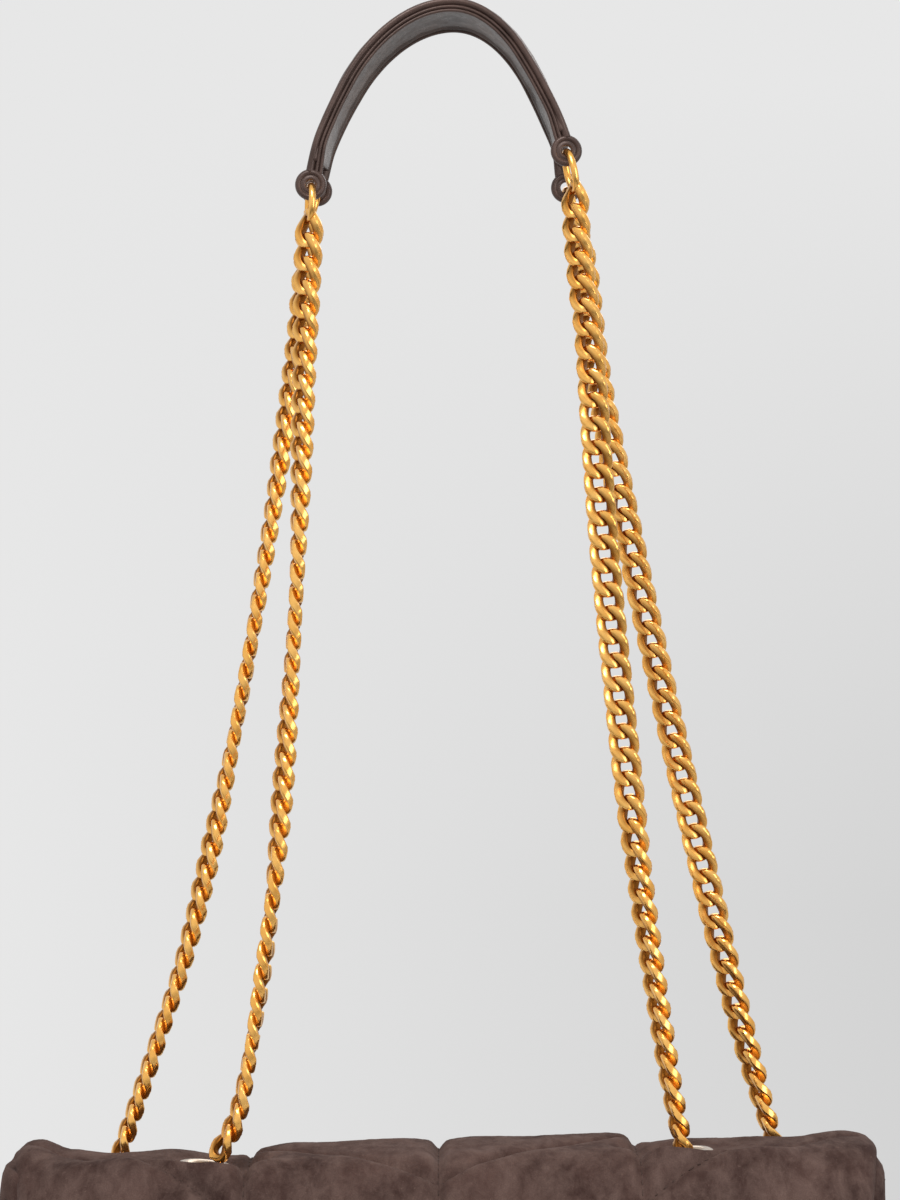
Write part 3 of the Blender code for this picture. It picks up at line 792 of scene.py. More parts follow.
def seam_distance(x, path):
    """How far a point of the quilting lies from its nearest seam, counted more under a slanted one.

    path is the distance up the cloth.
    """
    upright = min(abs(x - seam) for seam in UPRIGHT_SEAMS)
    along = (path - V_POINT - V_SLOPE * abs(x - UPRIGHT_SEAMS[1])) / V_PITCH
    above = (along - round(along)) * V_PITCH / math.hypot(1, V_SLOPE)
    return min(upright, above if above > 0 else -above * LIP_STEEPNESS)


def quilting(x, path, seed=0.0, strength=1.0):
    """Height of the padded cloth over its plain surface: full between seams, pulled in along them."""
    d = seam_distance(x, path)
    dome = math.sqrt(1 - (1 - clamp(d / PUFF_REACH)) ** 2)
    here = Vector((x, path, seed))
    full = PUFF * (1 + 0.22 * noise.noise(here * 26))
    height = strength * (full * dome - SEAM_SINK - CREASE * math.exp(-((d / CREASE_WIDTH) ** 2)))
    puckers = PUCKER * noise.noise(Vector((x * 150, path * 150, seed + 3))) * math.exp(-d / PUCKER_REACH)
    dents = DENT * noise.noise(here * 60) + CRUMPLE * noise.noise(here * 420)
    return height + puckers + dents


def rounded_edge(distance, reach=0.0045):
    """The share of its full thickness that a padded sheet has this far in from its edge."""
    return max(THINNEST_EDGE_SHARE, math.sqrt(1 - (1 - clamp(distance / reach)) ** 2))


def bell(value, centre, width):
    return math.exp(-(((value - centre) / width) ** 2))


def stitch_mesh():
    bm = bmesh.new()
    size = Matrix.Diagonal((*STITCH_SIZE, 1))
    bmesh.ops.create_uvsphere(bm, u_segments=6, v_segments=4, radius=1, matrix=size)
    mesh = bpy.data.meshes.new("stitch")
    bm.to_mesh(mesh)
    bm.free()
    return mesh


STITCH = stitch_mesh()


def stitches(name, lines):
    """Thread stitches along lines, each a function of share that gives a point and its normal."""
    samples = 160
    places = []
    for line in lines:
        spots = [line(i / samples) for i in range(samples + 1)]
        run = 0.0
        due = STITCH_PITCH / 2
        for (a, up), (b, _) in zip(spots, spots[1:]):
            step = (b - a).length
            while step > 1e-9 and run + step >= due:
                ahead = (b - a).normalized()
                side = up.cross(ahead).normalized()
                turn = Matrix((ahead, side, ahead.cross(side))).transposed().to_4x4()
                places.append(Matrix.Translation(a.lerp(b, (due - run) / step)) @ turn)
                due += STITCH_PITCH
            run += step
    return finished(name, copies(STITCH, places), THREAD)


# Flap


def flap_rows(count):
    """Shares t of the flap's profile at even distances along it, with each one's distance from the ridge."""
    samples = 300
    reached = lengths_along([flap_surface(0, i / samples) for i in range(samples + 1)])
    ridge = reached[round(RIDGE_RATIO * samples)]
    return [(t, reached[-1] * j / count - ridge) for j, t in enumerate(even_shares(reached, count))]


def eyelet_places():
    """Each eyelet's middle, x and y, with the height of its seat and of its barrel's foot."""
    places = {}
    for row in ROW_Y:
        for side in SIDE_SIGN:
            low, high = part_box(f"eyelet_{row}_{side}")
            middle = (low + high) / 2
            shift = lean(middle.x) - SINK[row]
            places[f"{row}_{side}"] = (middle.x, middle.y, high.z - EYELET_FLANGE + shift, low.z + shift)
    return places


EYELETS = eyelet_places()


def seat_height(key, x):
    """The tilted plane that an eyelet lies on: its outer end is higher."""
    centre, _, seat, _ = EYELETS[key]
    return seat + abs(x - centre) * math.tan(EYELET_TILT) * (1 if (x - centre) * centre > 0 else -1)


def between(stations, x):
    """The value in metres at x, from stations (place, value) in millimetres."""
    x *= 1000
    for (a, low), (b, high) in zip(stations, stations[1:]):
        if x <= b:
            return mix(low, high, ease(a, b, x)) / 1000
    return stations[-1][1] / 1000


def settled(point, depth):
    """A point of the flap after the soft top has sunk in places and lies down on its eyelets."""
    point = point.copy()
    x, y = point.x, point.y
    share = clamp(y / MOUTH_HALF_DEPTH)
    rise = between(FRONT_ROLL, x) * bell(y, FRONT_ROLL_PLACE, FRONT_ROLL_WIDTH)
    rise += between(SETTLING, x) * ease(*BEHIND_ROLL, y) * (1 - 0.7 * share**4)
    rise -= (CROWN_HEIGHT - FLAP_BACK_HEIGHT) * (share**BACK_POWER - share**CROWN_POWER)
    point.z += rise * ease(*SOFT_TOP, point.z) + lean(x) * ease(*LEANING_FLAP, point.z)
    point.z -= (BACK_SINK + BACK_CORNER_SINK * ease(*SINKING_CORNERS, abs(x))) * ease(*SINKING_BACK, y)
    point.x -= math.copysign(BACK_TUCK * ease(*TUCKED_CORNERS, abs(x)) * ease(*TUCKED_BACK, y), x)
    for key, (centre_x, centre_y, _, _) in EYELETS.items():
        away_x, away_y = x - centre_x, y - centre_y
        r = math.hypot(away_x, away_y)
        if r < 1e-9:
            reach = EYELET_REACH[1]
        else:
            reach = r / math.hypot(away_x / EYELET_REACH[0], away_y / EYELET_REACH[1])
        pull = 1 - ease(EYELET_FLAT, reach, r)
        if pull > 0 and point.z > SOFT_TOP[0]:
            point.z = mix(point.z, seat_height(key, x) - depth, pull)
    return point


def build_flap():
    """One quilted sheet from the hem over the ridge to the back, its lining and its stitches."""
    columns, count = 224, 152
    rows = flap_rows(count)
    shares = [mix(*FLAP_EDGES, i / columns) for i in range(columns + 1)]
    base = [[flap_surface(share, t) for share in shares] for t, _ in rows]
    normals = net_normals(base)
    paths = [path for _, path in rows]
    sewn_in = 0.010

    def from_edge(j, point):
        side = min(base[j][-1].x - point.x, point.x - base[j][0].x)
        return min(side, paths[j] - paths[0], sewn_in + paths[-1] - paths[j])

    def outside(j, i, point):
        inward = from_edge(j, point)
        full = rounded_edge(inward)
        fade = clamp(inward / QUILT_EDGE_FADE)
        fade *= 1 - 0.6 * ease(*FLATTER_ENDS, abs(point.x)) * ease(0.0, 0.012, paths[j])
        strength = mix(1.0, FRONT_QUILT_STRENGTH, ease(0.0, -0.020, paths[j]))
        return -PANEL / 2 + PANEL / 2 * full + quilting(point.x, paths[j], strength=strength) * fade

    def underside(j, i, point):
        full = rounded_edge(from_edge(j, point))
        return -PANEL / 2 - PANEL / 2 * full - 0.25 * quilting(point.x, paths[j])

    outer = [[settled(p, 0) for p in row] for row in moved_net(base, normals, outside)]
    inner = [[settled(p, PANEL) for p in row] for row in moved_net(base, normals, underside)]
    holes = [(x, y, FLAP_HOLE) for x, y, _, _ in EYELETS.values()]
    flap = finished("flap_quilt", sheet_between(outer, inner, holes=holes), SUEDE)
    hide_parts("flap_top", "flap_front")
    bend_over_ridge(flap)

    nets = lining_nets(inner, normals, FLAP_LINING)
    faces = [[row[4 : columns - 3] for row in net[4:-2]] for net in nets]
    lining = finished("flap_inner_lining", sheet_between(*faces, holes=holes), LINING)
    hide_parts("flap_top_lining", "flap_front_lining")
    bend_over_ridge(lining)

    across = [[p.x for p in row] for row in outer]

    def on_flap(x, path):
        place = clamp((path - paths[0]) / (paths[-1] - paths[0])) * count
        j = min(int(place), count - 1)
        i = min(columns, max(1, bisect.bisect(across[j], x)))
        share = clamp((x - across[j][i - 1]) / (across[j][i] - across[j][i - 1]))
        near, far = (row[i - 1].lerp(row[i], share) for row in (outer[j], outer[j + 1]))
        return near.lerp(far, place - j), normals[j][i]

    bend_over_ridge(stitches("flap_stitching", flap_lines(on_flap, paths[0], paths[-1])))


def flap_lines(on_flap, low, high):
    """The quilting's seams, and the line of topstitching along the flap's hem."""
    first, last = low + 0.003, high - 0.002
    half = 0.128
    hem_inset = 0.0065
    lines = [lambda s, x=x: on_flap(x, mix(first, last, s)) for x in UPRIGHT_SEAMS]
    for k in range(-6, 3):
        for sign in (-1, 1):

            def slanted(s, k=k, sign=sign):
                x = UPRIGHT_SEAMS[1] + sign * mix(0.001, half, s)
                path = V_POINT + V_SLOPE * abs(x - UPRIGHT_SEAMS[1]) + k * V_PITCH
                return on_flap(x, clamp(path, first, last))

            lines.append(slanted)
    lines.append(lambda s: on_flap(mix(-half, half, s), low + hem_inset))
    return lines


def bend_over_ridge(piece):
    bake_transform(piece)


build_flap()


# Body


def wall_point(angle, z):
    x, y = outline_point(angle)
    puff = FRONT_PUFF if y < 0 else BACK_PUFF
    return Vector((x * half_width(z), y * half_depth(z, puff), z))


def outline_angles(count):
    """Angles round the body's outline at even distances, from the middle of the back towards the left."""
    samples = 1440
    half_way_up = 0.080
    turns = [math.pi / 2 + 2 * math.pi * i / samples for i in range(samples + 1)]
    reached = lengths_along([wall_point(angle, half_way_up) for angle in turns])
    return [math.pi / 2 + 2 * math.pi * share for share in even_shares(reached, count)]


def on_side(angle):
    return abs(outline_point(angle)[0]) > SEAM_RATIO


def gusset_bulge(across, y, z):
    """How far the soft sides swell out near the mouth, and draw in again under the flap."""
    if z < MOUTH_HEIGHT:
        swell = ease(*GUSSET_SWELL, z)
    else:
        swell = math.sqrt(max(0.0, 1 - ((z - MOUTH_HEIGHT) / GUSSET_CREST) ** 2))
    near_middle = ease(0.90, 1.0, abs(across)) * max(0.0, 1 - (y / SIDE_FULLNESS_DEPTH) ** 2)
    return (GUSSET_BULGE if across < 0 else RIGHT_BULGE_SHARE * GUSSET_BULGE) * swell * near_middle


def side_fold(point):
    """How far a side is folded in along its middle, deeper towards the mouth."""
    return GUSSET_FOLD * math.exp(-((point.y / GUSSET_FOLD_WIDTH) ** 2)) * ease(*GUSSET_FOLD_RISE, point.z)


def wall_top(angle):
    """Height of the mouth's edge: low in front, higher at the sides and level with the fold at the back."""
    x, s = math.cos(angle), math.sin(angle)
    panel = mix(FRONT_HEIGHT, MOUTH_HEIGHT - 0.001, ease(-0.9, 0.2, s))
    corner = FRONT_CORNER_HEIGHT if s < 0 else BACK_CORNER_HEIGHT
    side = mix(corner, GUSSET_HEIGHT, ease(0.80, 0.97, abs(x)))
    return mix(panel, side, ease(0.60, 0.77, abs(x)))


def body_base(angles, count):
    """The body's plain wall, from its foot up to the mouth's edge, with its sides swollen."""
    foot = 0.0015
    base = []
    for j in range(count + 1):
        row = [wall_point(angle, mix(foot, wall_top(angle), j / count)) for angle in angles]
        for angle, point in zip(angles, row):
            bulge = gusset_bulge(outline_point(angle)[0], point.y, point.z)
            point.x += math.copysign(bulge, point.x)
            point.z += lean(point.x) * ease(*LEANING_BODY, point.z)
        base.append(row)
    return base


def build_body():
    """One padded wall round the front, sides and back, its lining and its stitches."""
    columns, count = 300, 72
    angles = outline_angles(columns)
    base = body_base(angles, count)
    normals = net_normals(base, wrap=True)

    def lip(angle, point):
        return rounded_edge(min(wall_top(angle) - point.z, point.z + 0.001), 0.0050)

    def outside(j, i, point):
        angle = angles[i % columns]
        seam_gap = abs(abs(outline_point(angle)[0]) - SEAM_RATIO) * MOUTH_HALF_WIDTH
        pinch = SEAM_PINCH * math.exp(-((seam_gap / SEAM_PINCH_WIDTH) ** 2))
        fade = clamp((wall_top(angle) - point.z) / QUILT_EDGE_FADE) * clamp(point.z / 0.012)
        if on_side(angle):
            sag = 0.0015 * math.sin(math.pi * clamp(point.z / 0.15)) + 0.0007 * noise.noise(point * 45)
            height = sag - side_fold(point)
        else:
            seed = 7.0 if point.y > 0 else 5.0
            height = quilting(point.x, point.z - BODY_QUILT_TOP, seed, BODY_QUILT_STRENGTH)
            height *= clamp(seam_gap / 0.012)
        return -PANEL / 2 + PANEL / 2 * lip(angle, point) + height * fade - pinch

    def within(j, i, point):
        angle = angles[i % columns]
        fold = side_fold(point) if on_side(angle) else 0
        return -PANEL / 2 - PANEL / 2 * lip(angle, point) - fold

    outer = moved_net(base, normals, outside)
    inner = moved_net(base, normals, within)
    shell = finished("body_shell", sheet_between(outer, inner, wrap=True), SUEDE)
    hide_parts("front_panel", "back_panel", "gusset_left", "gusset_right")
    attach(shell, "bag_body")

    def on_body(angle_share, height):
        i = angle_share * columns
        a = int(i) % columns
        place = clamp(height) * count
        j = min(int(place), count - 1)
        low, high = (row[a].lerp(row[a + 1], i - int(i)) for row in (outer[j], outer[j + 1]))
        return low.lerp(high, place - j), normals[j][a]

    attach(stitches("body_stitching", body_lines(on_body, angles)), "bag_body")

    faces = [net[4 : count - 2] for net in lining_nets(inner, normals, BODY_LINING)]
    lining = finished("body_lining", sheet_between(*faces, wrap=True), LINING)
    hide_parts("lining_front", "lining_back", "lining_left", "lining_right")
    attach(lining, "bag_body")


def body_lines(on_body, angles):
    """Two rows of stitches beside each corner seam, and one round the mouth."""
    columns = len(angles) - 1
    apart = 0.004

    def upright(share):
        return lambda s: on_body(share, mix(0.03, 0.96, s))

    lines = []
    for i, (angle, next_angle) in enumerate(zip(angles, angles[1:])):
        if on_side(angle) != on_side(next_angle):
            share = (i + (0.2 if on_side(angle) else 0.8)) / columns
            lines.append(upright(share))
            lines.append(upright(share + (-apart if on_side(next_angle) else apart)))
    lines.append(lambda s: on_body(s * 0.9999, 0.945))
    return lines


def plate(name, node_name, kind):
    """A soft plate of the base's outline over a CAD plate, its edge rounded."""
    low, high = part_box(node_name)
    thickness = high.z - low.z
    half_x = (high.x - low.x) / 2
    rounding = 0.42 * thickness
    bm = bmesh.new()
    bmesh.ops.create_circle(bm, cap_ends=True, radius=1, segments=96)
    for v in bm.verts:
        x, y = outline_point(math.atan2(v.co.y, v.co.x))
        v.co = (x * half_x, y * (-low.y if y < 0 else high.y), low.z)
    grown = bmesh.ops.extrude_face_region(bm, geom=bm.faces[:])
    raised = [v for v in grown["geom"] if isinstance(v, bmesh.types.BMVert)]
    bmesh.ops.translate(bm, vec=(0, 0, thickness), verts=raised)
    rim = [e for e in bm.edges if len(e.link_faces) == 2 and any(len(f.verts) > 4 for f in e.link_faces)]
    bmesh.ops.bevel(bm, geom=rim, offset=rounding, segments=3, profile=0.5, affect="EDGES", material=-1)
    made = finished(name, bm, kind)
    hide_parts(node_name)
    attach(made, "bag_body")


def build_pocket():
    """The slip pocket's patch: the CAD's own shape, its cloth made a little uneven."""
    bm = bmesh.new()
    bm.from_mesh(frame["nodes"]["slip_pocket"].data)
    bmesh.ops.remove_doubles(bm, verts=bm.verts[:], dist=1e-5)
    bmesh.ops.subdivide_edges(bm, edges=bm.edges[:], cuts=2, use_grid_fill=True)
    for v in bm.verts:
        v.co.y += 0.0002 * noise.noise(v.co * 90)
    made = finished("slip_pocket_patch", bm, LINING)
    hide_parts("slip_pocket")
    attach(made, "bag_body")


def build_back_fold():
    """A narrow band of suede over the fold where the flap is sewn to the top of the back."""
    columns, around = 120, 20
    band_low, band_high = 0.1385, 0.1560
    band_end = 0.935
    half_length = 0.13
    edge_reach = 0.0030
    proud, sunk = 0.0022, 0.0030
    net_out, net_in = [], []
    for j in range(around + 1):
        t = j / around
        z = mix(band_low, band_high, t)
        wall_z = min(z, MOUTH_HEIGHT)
        over = 0.0055 * clamp((z - MOUTH_HEIGHT) / 0.008) ** 2
        row_out, row_in = [], []
        for i in range(columns + 1):
            across = mix(-band_end, band_end, i / columns)
            deep = rounded(across) * (half_depth(wall_z, BACK_PUFF) - over)
            place = Vector((across * half_width(wall_z), deep, z))
            place.z += lean(place.x) * t
            outward = Vector((across**5, 1, 0)).normalized()
            ends = rounded_edge((1 - abs(i / columns * 2 - 1)) * half_length, edge_reach)
            edge = min(ends, rounded_edge(min(t, 1 - t) * (band_high - band_low), edge_reach))
            row_out.append(place + outward * (proud * edge + 0.0002 * noise.noise(place * 120)))
            row_in.append(place - outward * sunk)
        net_out.append(row_out)
        net_in.append(row_in)
    band = finished("back_fold_band", sheet_between(net_out, net_in), SUEDE)
    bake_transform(band)


def cord(points, radius):
    """A round cord through points, closed at both ends."""
    sides = 14
    pitch = 0.0025
    line, length = curve_through(points)
    steps = max(8, round(length / pitch))
    net = []
    for j in range(steps + 1):
        share = j / steps
        ahead = (line(share + 0.01) - line(share - 0.01)).normalized()
        first = (Vector((1, 0, 0)) - ahead * ahead.x).normalized()
        taper = radius * math.sqrt(clamp(min(share, 1 - share) * length / radius, 0.05, 1.0))
        net.append(round_row(line(share), first, ahead.cross(first), taper, sides))
    return capped(grid_of(net))


def build_piping():
    """Piping down the four upright corner seams."""
    foot, steps = 0.004, 6
    rows = {"front": (-1, FRONT_PUFF, FRONT_HEIGHT - 0.002), "back": (1, BACK_PUFF, MOUTH_HEIGHT - 0.004)}
    for row, (sign, puff, top) in rows.items():
        for side, way in SIDE_SIGN.items():
            points = []
            for k in range(steps + 1):
                z = mix(foot, top, k / steps)
                deep = sign * rounded(SEAM_RATIO) * half_depth(z, puff)
                points.append(Vector((way * SEAM_RATIO * half_width(z), deep, z)))
            piping = finished(f"corner_piping_{row}_{side}", cord(points, PIPING_RADIUS), SUEDE)
            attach(piping, "bag_body")


build_body()
plate("base_cover", "base_panel", SUEDE)
plate("base_lining", "lining_base", LINING)
build_pocket()
build_back_fold()
build_piping()


# Eyelets and washers


def build_eyelets():
    """Each eyelet's rim and barrel, tilted with the soft flap, and its washer underneath."""
    for key, (x, y, seat, foot) in EYELETS.items():
        outward = 1 if x > 0 else -1
        place = Matrix.Translation((x, y, seat)) @ Matrix.Rotation(-outward * EYELET_TILT, 4, "Y")
        inner, outer = EYELET_BARREL
        barrel = [(inner, foot - seat), (outer, foot - seat), (outer, -0.0004)]
        made = finished(f"eyelet_rim_{key}", turned([*EYELET_LIP, *barrel], place), PALE_GOLD)
        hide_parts(f"eyelet_{key}")
        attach(made, "flap_top")
        _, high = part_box(f"washer_{key}")
        place = Matrix.Translation((x, y, high.z + lean(x)))
        made = finished(f"washer_ring_{key}", turned(WASHER_RING, place), PALE_GOLD)
        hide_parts(f"washer_{key}")
        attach(made, "flap_top")


build_eyelets()


# Chain


def link_mesh():
    """One curb link: an oval of squared wire, twisted along its length and cut flat on both faces, with a
    mask for painted shade on its inner side.
    """
    around, section = 30, 14
    half_long = (LINK_PITCH + LINK_WIRE) / 2
    half_wide = (LINK_WIDTH - LINK_WIRE) / 2
    fullness = 0.8
    squareness = 0.55

    def bent(value, power):
        return math.copysign(abs(value) ** power, value)

    def filed(height):
        """Cut down to the flat, with a soft rim round it."""
        rim_share = 0.18
        over = max(0.0, height - (1 - rim_share) * LINK_FLAT)
        room = rim_share * LINK_FLAT
        return height - over + room * (1 - math.exp(-over / room))

    def middle(share):
        angle = 2 * math.pi * share
        x, y = bent(math.cos(angle), fullness), bent(math.sin(angle), fullness)
        return Vector((half_long * x, half_wide * y, 0))

    net = []
    for j in range(around + 1):
        share = (j % around) / around
        here = middle(share)
        ahead = (middle(share + 0.004) - middle(share - 0.004)).normalized()
        out = Vector((ahead.y, -ahead.x, 0))
        half_wire = LINK_WIRE / 2 + 0.0002 * abs(math.sin(2 * math.pi * share))
        row = []
        for i in range(section + 1):
            angle = 2 * math.pi * (i % section) / section
            point = here + out * half_wire * bent(math.cos(angle), squareness)
            point.z += LINK_DEPTH / 2 * bent(math.sin(angle), squareness)
            point = Matrix.Rotation(LINK_TWIST * point.x / half_long, 3, "X") @ point
            point.z = math.copysign(filed(abs(point.z)), point.z)
            row.append(point)
        net.append(row)
    bm = grid_of(net)
    bmesh.ops.recalc_face_normals(bm, faces=bm.faces[:])
    for edge in bm.edges:
        edge.smooth = edge.calc_face_angle() < LINK_EDGE
    # A mask of painted shade: full on the wire's inner side, facing the hole where the next links pass, and
    # none on its outer side
    recess_shade = bm.verts.layers.float.new("recess_shade")
    for v in bm.verts:
        plain = Matrix.Rotation(-LINK_TWIST * v.co.x / half_long, 3, "X") @ v.co
        from_middle = math.hypot(plain.x / half_long, plain.y / half_wide)
        v[recess_shade] = clamp((RECESS_SHADE_RIM - from_middle) / RECESS_SHADE_FADE)
    mesh = bpy.data.meshes.new("curb_link")
    bm.to_mesh(mesh)
    bm.free()
    return mesh


LINK = link_mesh()


def chain(name, points, roll, body, replaced, side_from=Vector((1, 0, 0))):
    """Links along a smooth line. roll(share) turns their flat side about the line, in degrees."""
    line, length = curve_through(points)
    count = round(length / LINK_PITCH)
    places = []
    for i in range(count):
        share = (i + 0.5) / count
        along = (line(share + 0.01) - line(share - 0.01)).normalized()
        face = side_from.cross(along).normalized()
        turn = Matrix((along, face.cross(along), face)).transposed().to_4x4()
        turn = turn @ Matrix.Rotation(math.radians(roll(share)), 4, "X")
        places.append(Matrix.Translation(line(share)) @ turn)
    made = finished(name, copies(LINK, places), GOLD)
    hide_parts(replaced)
    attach(made, body)


def roll_of(rolls):
    """The turn at each share of a strand, between rolls given at even shares."""

    def roll(share):
        place = share * (len(rolls) - 1)
        first = min(int(place), len(rolls) - 2)
        return mix(rolls[first], rolls[first + 1], ease(0, 1, place - first))

    return roll


def end_ring(key, top, bottom, body):
    """The oval wire ring between a tab's hole and the first link."""
    around, section = 40, 12
    middle = (top + bottom) / 2
    up = (top - bottom).normalized()
    half_tall = (top - bottom).length / 2
    flat = Vector((math.sin(RING_TURN), math.cos(RING_TURN), 0))
    out = flat.cross(up).normalized()
    wide = RING_WIDE[key.split("_")[0]]
    net = []
    for j in range(around + 1):
        angle = 2 * math.pi * (j % around) / around
        here = middle + up * half_tall * math.cos(angle) + flat * wide * math.sin(angle)
        away = (up * math.cos(angle) / half_tall + flat * math.sin(angle) / wide).normalized()
        net.append(round_row(here, away, out, RING_WIRE, section))
    made = finished(f"end_ring_{key}", grid_of(net), GOLD)
    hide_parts(f"ring_{key}")
    if body == "front_chain":
        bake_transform(made)
    else:
        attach(made, body)


def build_strands():
    for key, (points, rolls) in STRANDS.items():
        row = key.split("_")[0]
        body = f"{row}_chain"
        line = [Vector((x / 1000, ROW_Y[row], z / 1000)) for x, z in points]
        chain(f"curb_strand_{key}", line, roll_of(rolls), body, f"chain_{key}")
        tab_x, tab_z = TABS[key]
        top = Vector((tab_x, ROW_Y[row], tab_z - TAB_HOLE[row] + RING_WIRE))
        end_ring(key, top, line[0] - Vector((0, 0, RING_WIRE)), body)


def build_inner_runs():
    """The chain under the flap, from each front eyelet down and up again to the back one."""
    in_barrel, under_barrel = 0.006, 0.014
    for side in SIDE_SIGN:
        fx, fy, front_seat, _ = EYELETS[f"front_{side}"]
        bx, by, back_seat, _ = EYELETS[f"back_{side}"]
        low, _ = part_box(f"chain_inner_{side}")
        dip = low.z + LINK_WIDTH / 2 + 0.001
        middle = Vector(((fx + bx) / 2, 0, dip))
        line = [
            Vector((fx, fy, front_seat - in_barrel)),
            Vector((mix(fx, bx, 0.04), mix(fy, by, 0.04), front_seat - under_barrel)),
            middle.lerp(Vector((fx, fy, dip)), 0.45),
            middle,
            middle.lerp(Vector((bx, by, dip)), 0.45),
            Vector((mix(fx, bx, 0.96), mix(fy, by, 0.96), back_seat - under_barrel)),
            Vector((bx, by, back_seat - in_barrel)),
        ]
        side_from = Vector((by - fy, fx - bx, 0)).normalized()
        chain(f"curb_run_{side}", line, roll_of((90, 90)), "flap_top", f"chain_inner_{side}", side_from)


build_strands()
build_inner_runs()


# Shoulder pad


def pad_arch(s, y):
    """The pad's outside: s runs over the arch from left to right, between ends of uneven height."""
    rise = PAD_TOP - PAD_SPRING
    ends = []
    for side in SIDE_SIGN:
        foot = mix(PAD_FEET[f"front_{side}"], PAD_FEET[f"back_{side}"], y / PAD_WIDTH + 0.5)
        ends.append(math.asin(((foot - PAD_SPRING) / rise) ** (1 / PAD_ROUNDNESS[side])))
    angle = mix(math.pi - ends[0], ends[1], s)
    along, up = math.cos(angle), math.sin(angle)
    x = PAD_MIDDLE + PAD_HALF_SPAN * along + PAD_LEAN * up * up + PAD_YAW * y
    return Vector((x, y, PAD_SPRING + rise * up ** PAD_ROUNDNESS["left" if along < 0 else "right"]))


def pad_cup(y, s):
    """How far the pad's edges curl down from its middle, less at its two ends."""
    return PAD_CUP * (2 * y / PAD_WIDTH) ** 2 * mix(0.15, 1, ease(0, 0.16, min(s, 1 - s)))


def outer_relief(edge, point):
    """A low ridge a little way in from the edge, and a fine unevenness."""
    return 0.0004 * bell(edge, 0.0050, 0.0009) + 0.0002 * noise.noise(point * 150)


def inner_relief(edge, point):
    """A sewn groove along the edge, the padding that rises behind it, and the puckers between."""
    puckers = 0.00045 * noise.noise(point * 170 + Vector((5, 0, 0))) * bell(edge, 0.0035, 0.0040)
    return 0.0006 * ease(0.003, 0.009, edge) - 0.0007 * bell(edge, 0.0025, 0.0006) + puckers


def pad_skin(name, top, thickness, inset, relief, kind, nodes):
    """One skin of the pad, its outside so far under the arch and its sides so far in from the edge."""
    columns, across = 150, 48
    net = []
    for j in range(across + 1):
        y = mix(-PAD_WIDTH / 2, PAD_WIDTH / 2, j / across)
        net.append([pad_arch(i / columns, y) for i in range(columns + 1)])
    kept = [j for j, row in enumerate(net) if abs(row[0].y) <= PAD_WIDTH / 2 - inset + 1e-6]
    all_normals = net_normals(net)
    net, normals = [net[j] for j in kept], [all_normals[j] for j in kept]

    def edge(point):
        return max(0.0, PAD_WIDTH / 2 - abs(point.y) - inset)

    def above(j, i, point):
        full = rounded_edge(edge(point), thickness / 2)
        height = relief(edge(point), point)
        return -pad_cup(point.y, i / columns) - top - thickness / 2 * (1 - full) + height

    def below(j, i, point):
        full = rounded_edge(edge(point), thickness / 2)
        bulge = 0.6 * relief(edge(point), point)
        return -pad_cup(point.y, i / columns) - top - thickness / 2 * (1 + full) - bulge

    shell = sheet_between(moved_net(net, normals, above), moved_net(net, normals, below))
    made = finished(name, shell, kind)
    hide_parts(*nodes)
    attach(made, "shoulder_pad")


def trim_section():
    """The rolled edge's cross-section, from the outside in and back along its flat underside."""
    section = []
    for low, high, height, count in TRIM_ROLLS:
        for k in range(count):
            turn = math.pi * k / count
            section.append(((low + high) / 2 + (high - low) / 2 * math.cos(turn), height * math.sin(turn)))
    return section + [(-1.0, 0.0), (-0.8, -0.0009), (0.0, -0.0011), (0.8, -0.0009), (1.0, 0.0)]


def build_trim(row):
    """The rolled edge along one side of the pad, which runs down at both ends into its tabs."""
    inset = 0.0006
    beside_tab, over_tab = 0.0010, 0.0036
    sign = -1 if row == "front" else 1
    y = sign * (PAD_WIDTH / 2 - inset)
    path = []
    for i in range(3, 94, 6):
        s = mix(0.01, 0.99, i / 96)
        ahead = (pad_arch(s + 0.005, y) - pad_arch(s - 0.005, y)).normalized()
        depth = pad_cup(y, s) + (PAD_UPPER + PAD_LOWER) / 2 - 0.0003
        path.append(pad_arch(s, y) - Vector((-ahead.z, 0, ahead.x)) * depth)
    ends = []
    for side, way in SIDE_SIGN.items():
        x, z = TABS[f"{row}_{side}"]
        ends.append(Vector((x - way * beside_tab, y, z + over_tab)))
    line, length = curve_through([ends[0], *path, ends[1]])
    section = trim_section()
    steps = 190
    net = []
    for j in range(steps + 1):
        share = j / steps
        here = line(share)
        ahead = (line(share + 0.004) - line(share - 0.004)).normalized()
        out = Vector((-ahead.z, 0, ahead.x))
        end = 1 - ease(0.0, TRIM_NECK_LENGTH, min(share, 1 - share) * length)
        half = mix(TRIM_HALF_WIDTH, TRIM_NECK_HALF_WIDTH, end)
        here.y = mix(y, ROW_Y[row], end)
        net.append([here + out * u * half + Vector((0, sign * v, 0)) for u, v in section])
    trim = finished(f"pad_edge_{row}", capped(grid_of(net)), PAD_SKIN)
    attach(trim, "shoulder_pad")


def build_tab(key):
    """A round tab with a hole, ringed by two rolls."""
    row = key.split("_")[0]
    x, z = TABS[key]
    place = Matrix.Translation((x, ROW_Y[row], z)) @ Matrix.Rotation(math.pi / 2, 4, "X")
    hole = TAB_HOLE[row]
    face = [(hole, 0.0000), (hole, 0.0007), (hole + 0.0002, 0.0012), *TAB_ROLLS]
    back = [(r, -h) for r, h in reversed(face[1:-1])]
    made = finished(f"pad_tab_disc_{key}", turned(face + back, place, 48), PAD_SKIN)
    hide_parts(f"pad_tab_{key}")
    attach(made, "shoulder_pad")


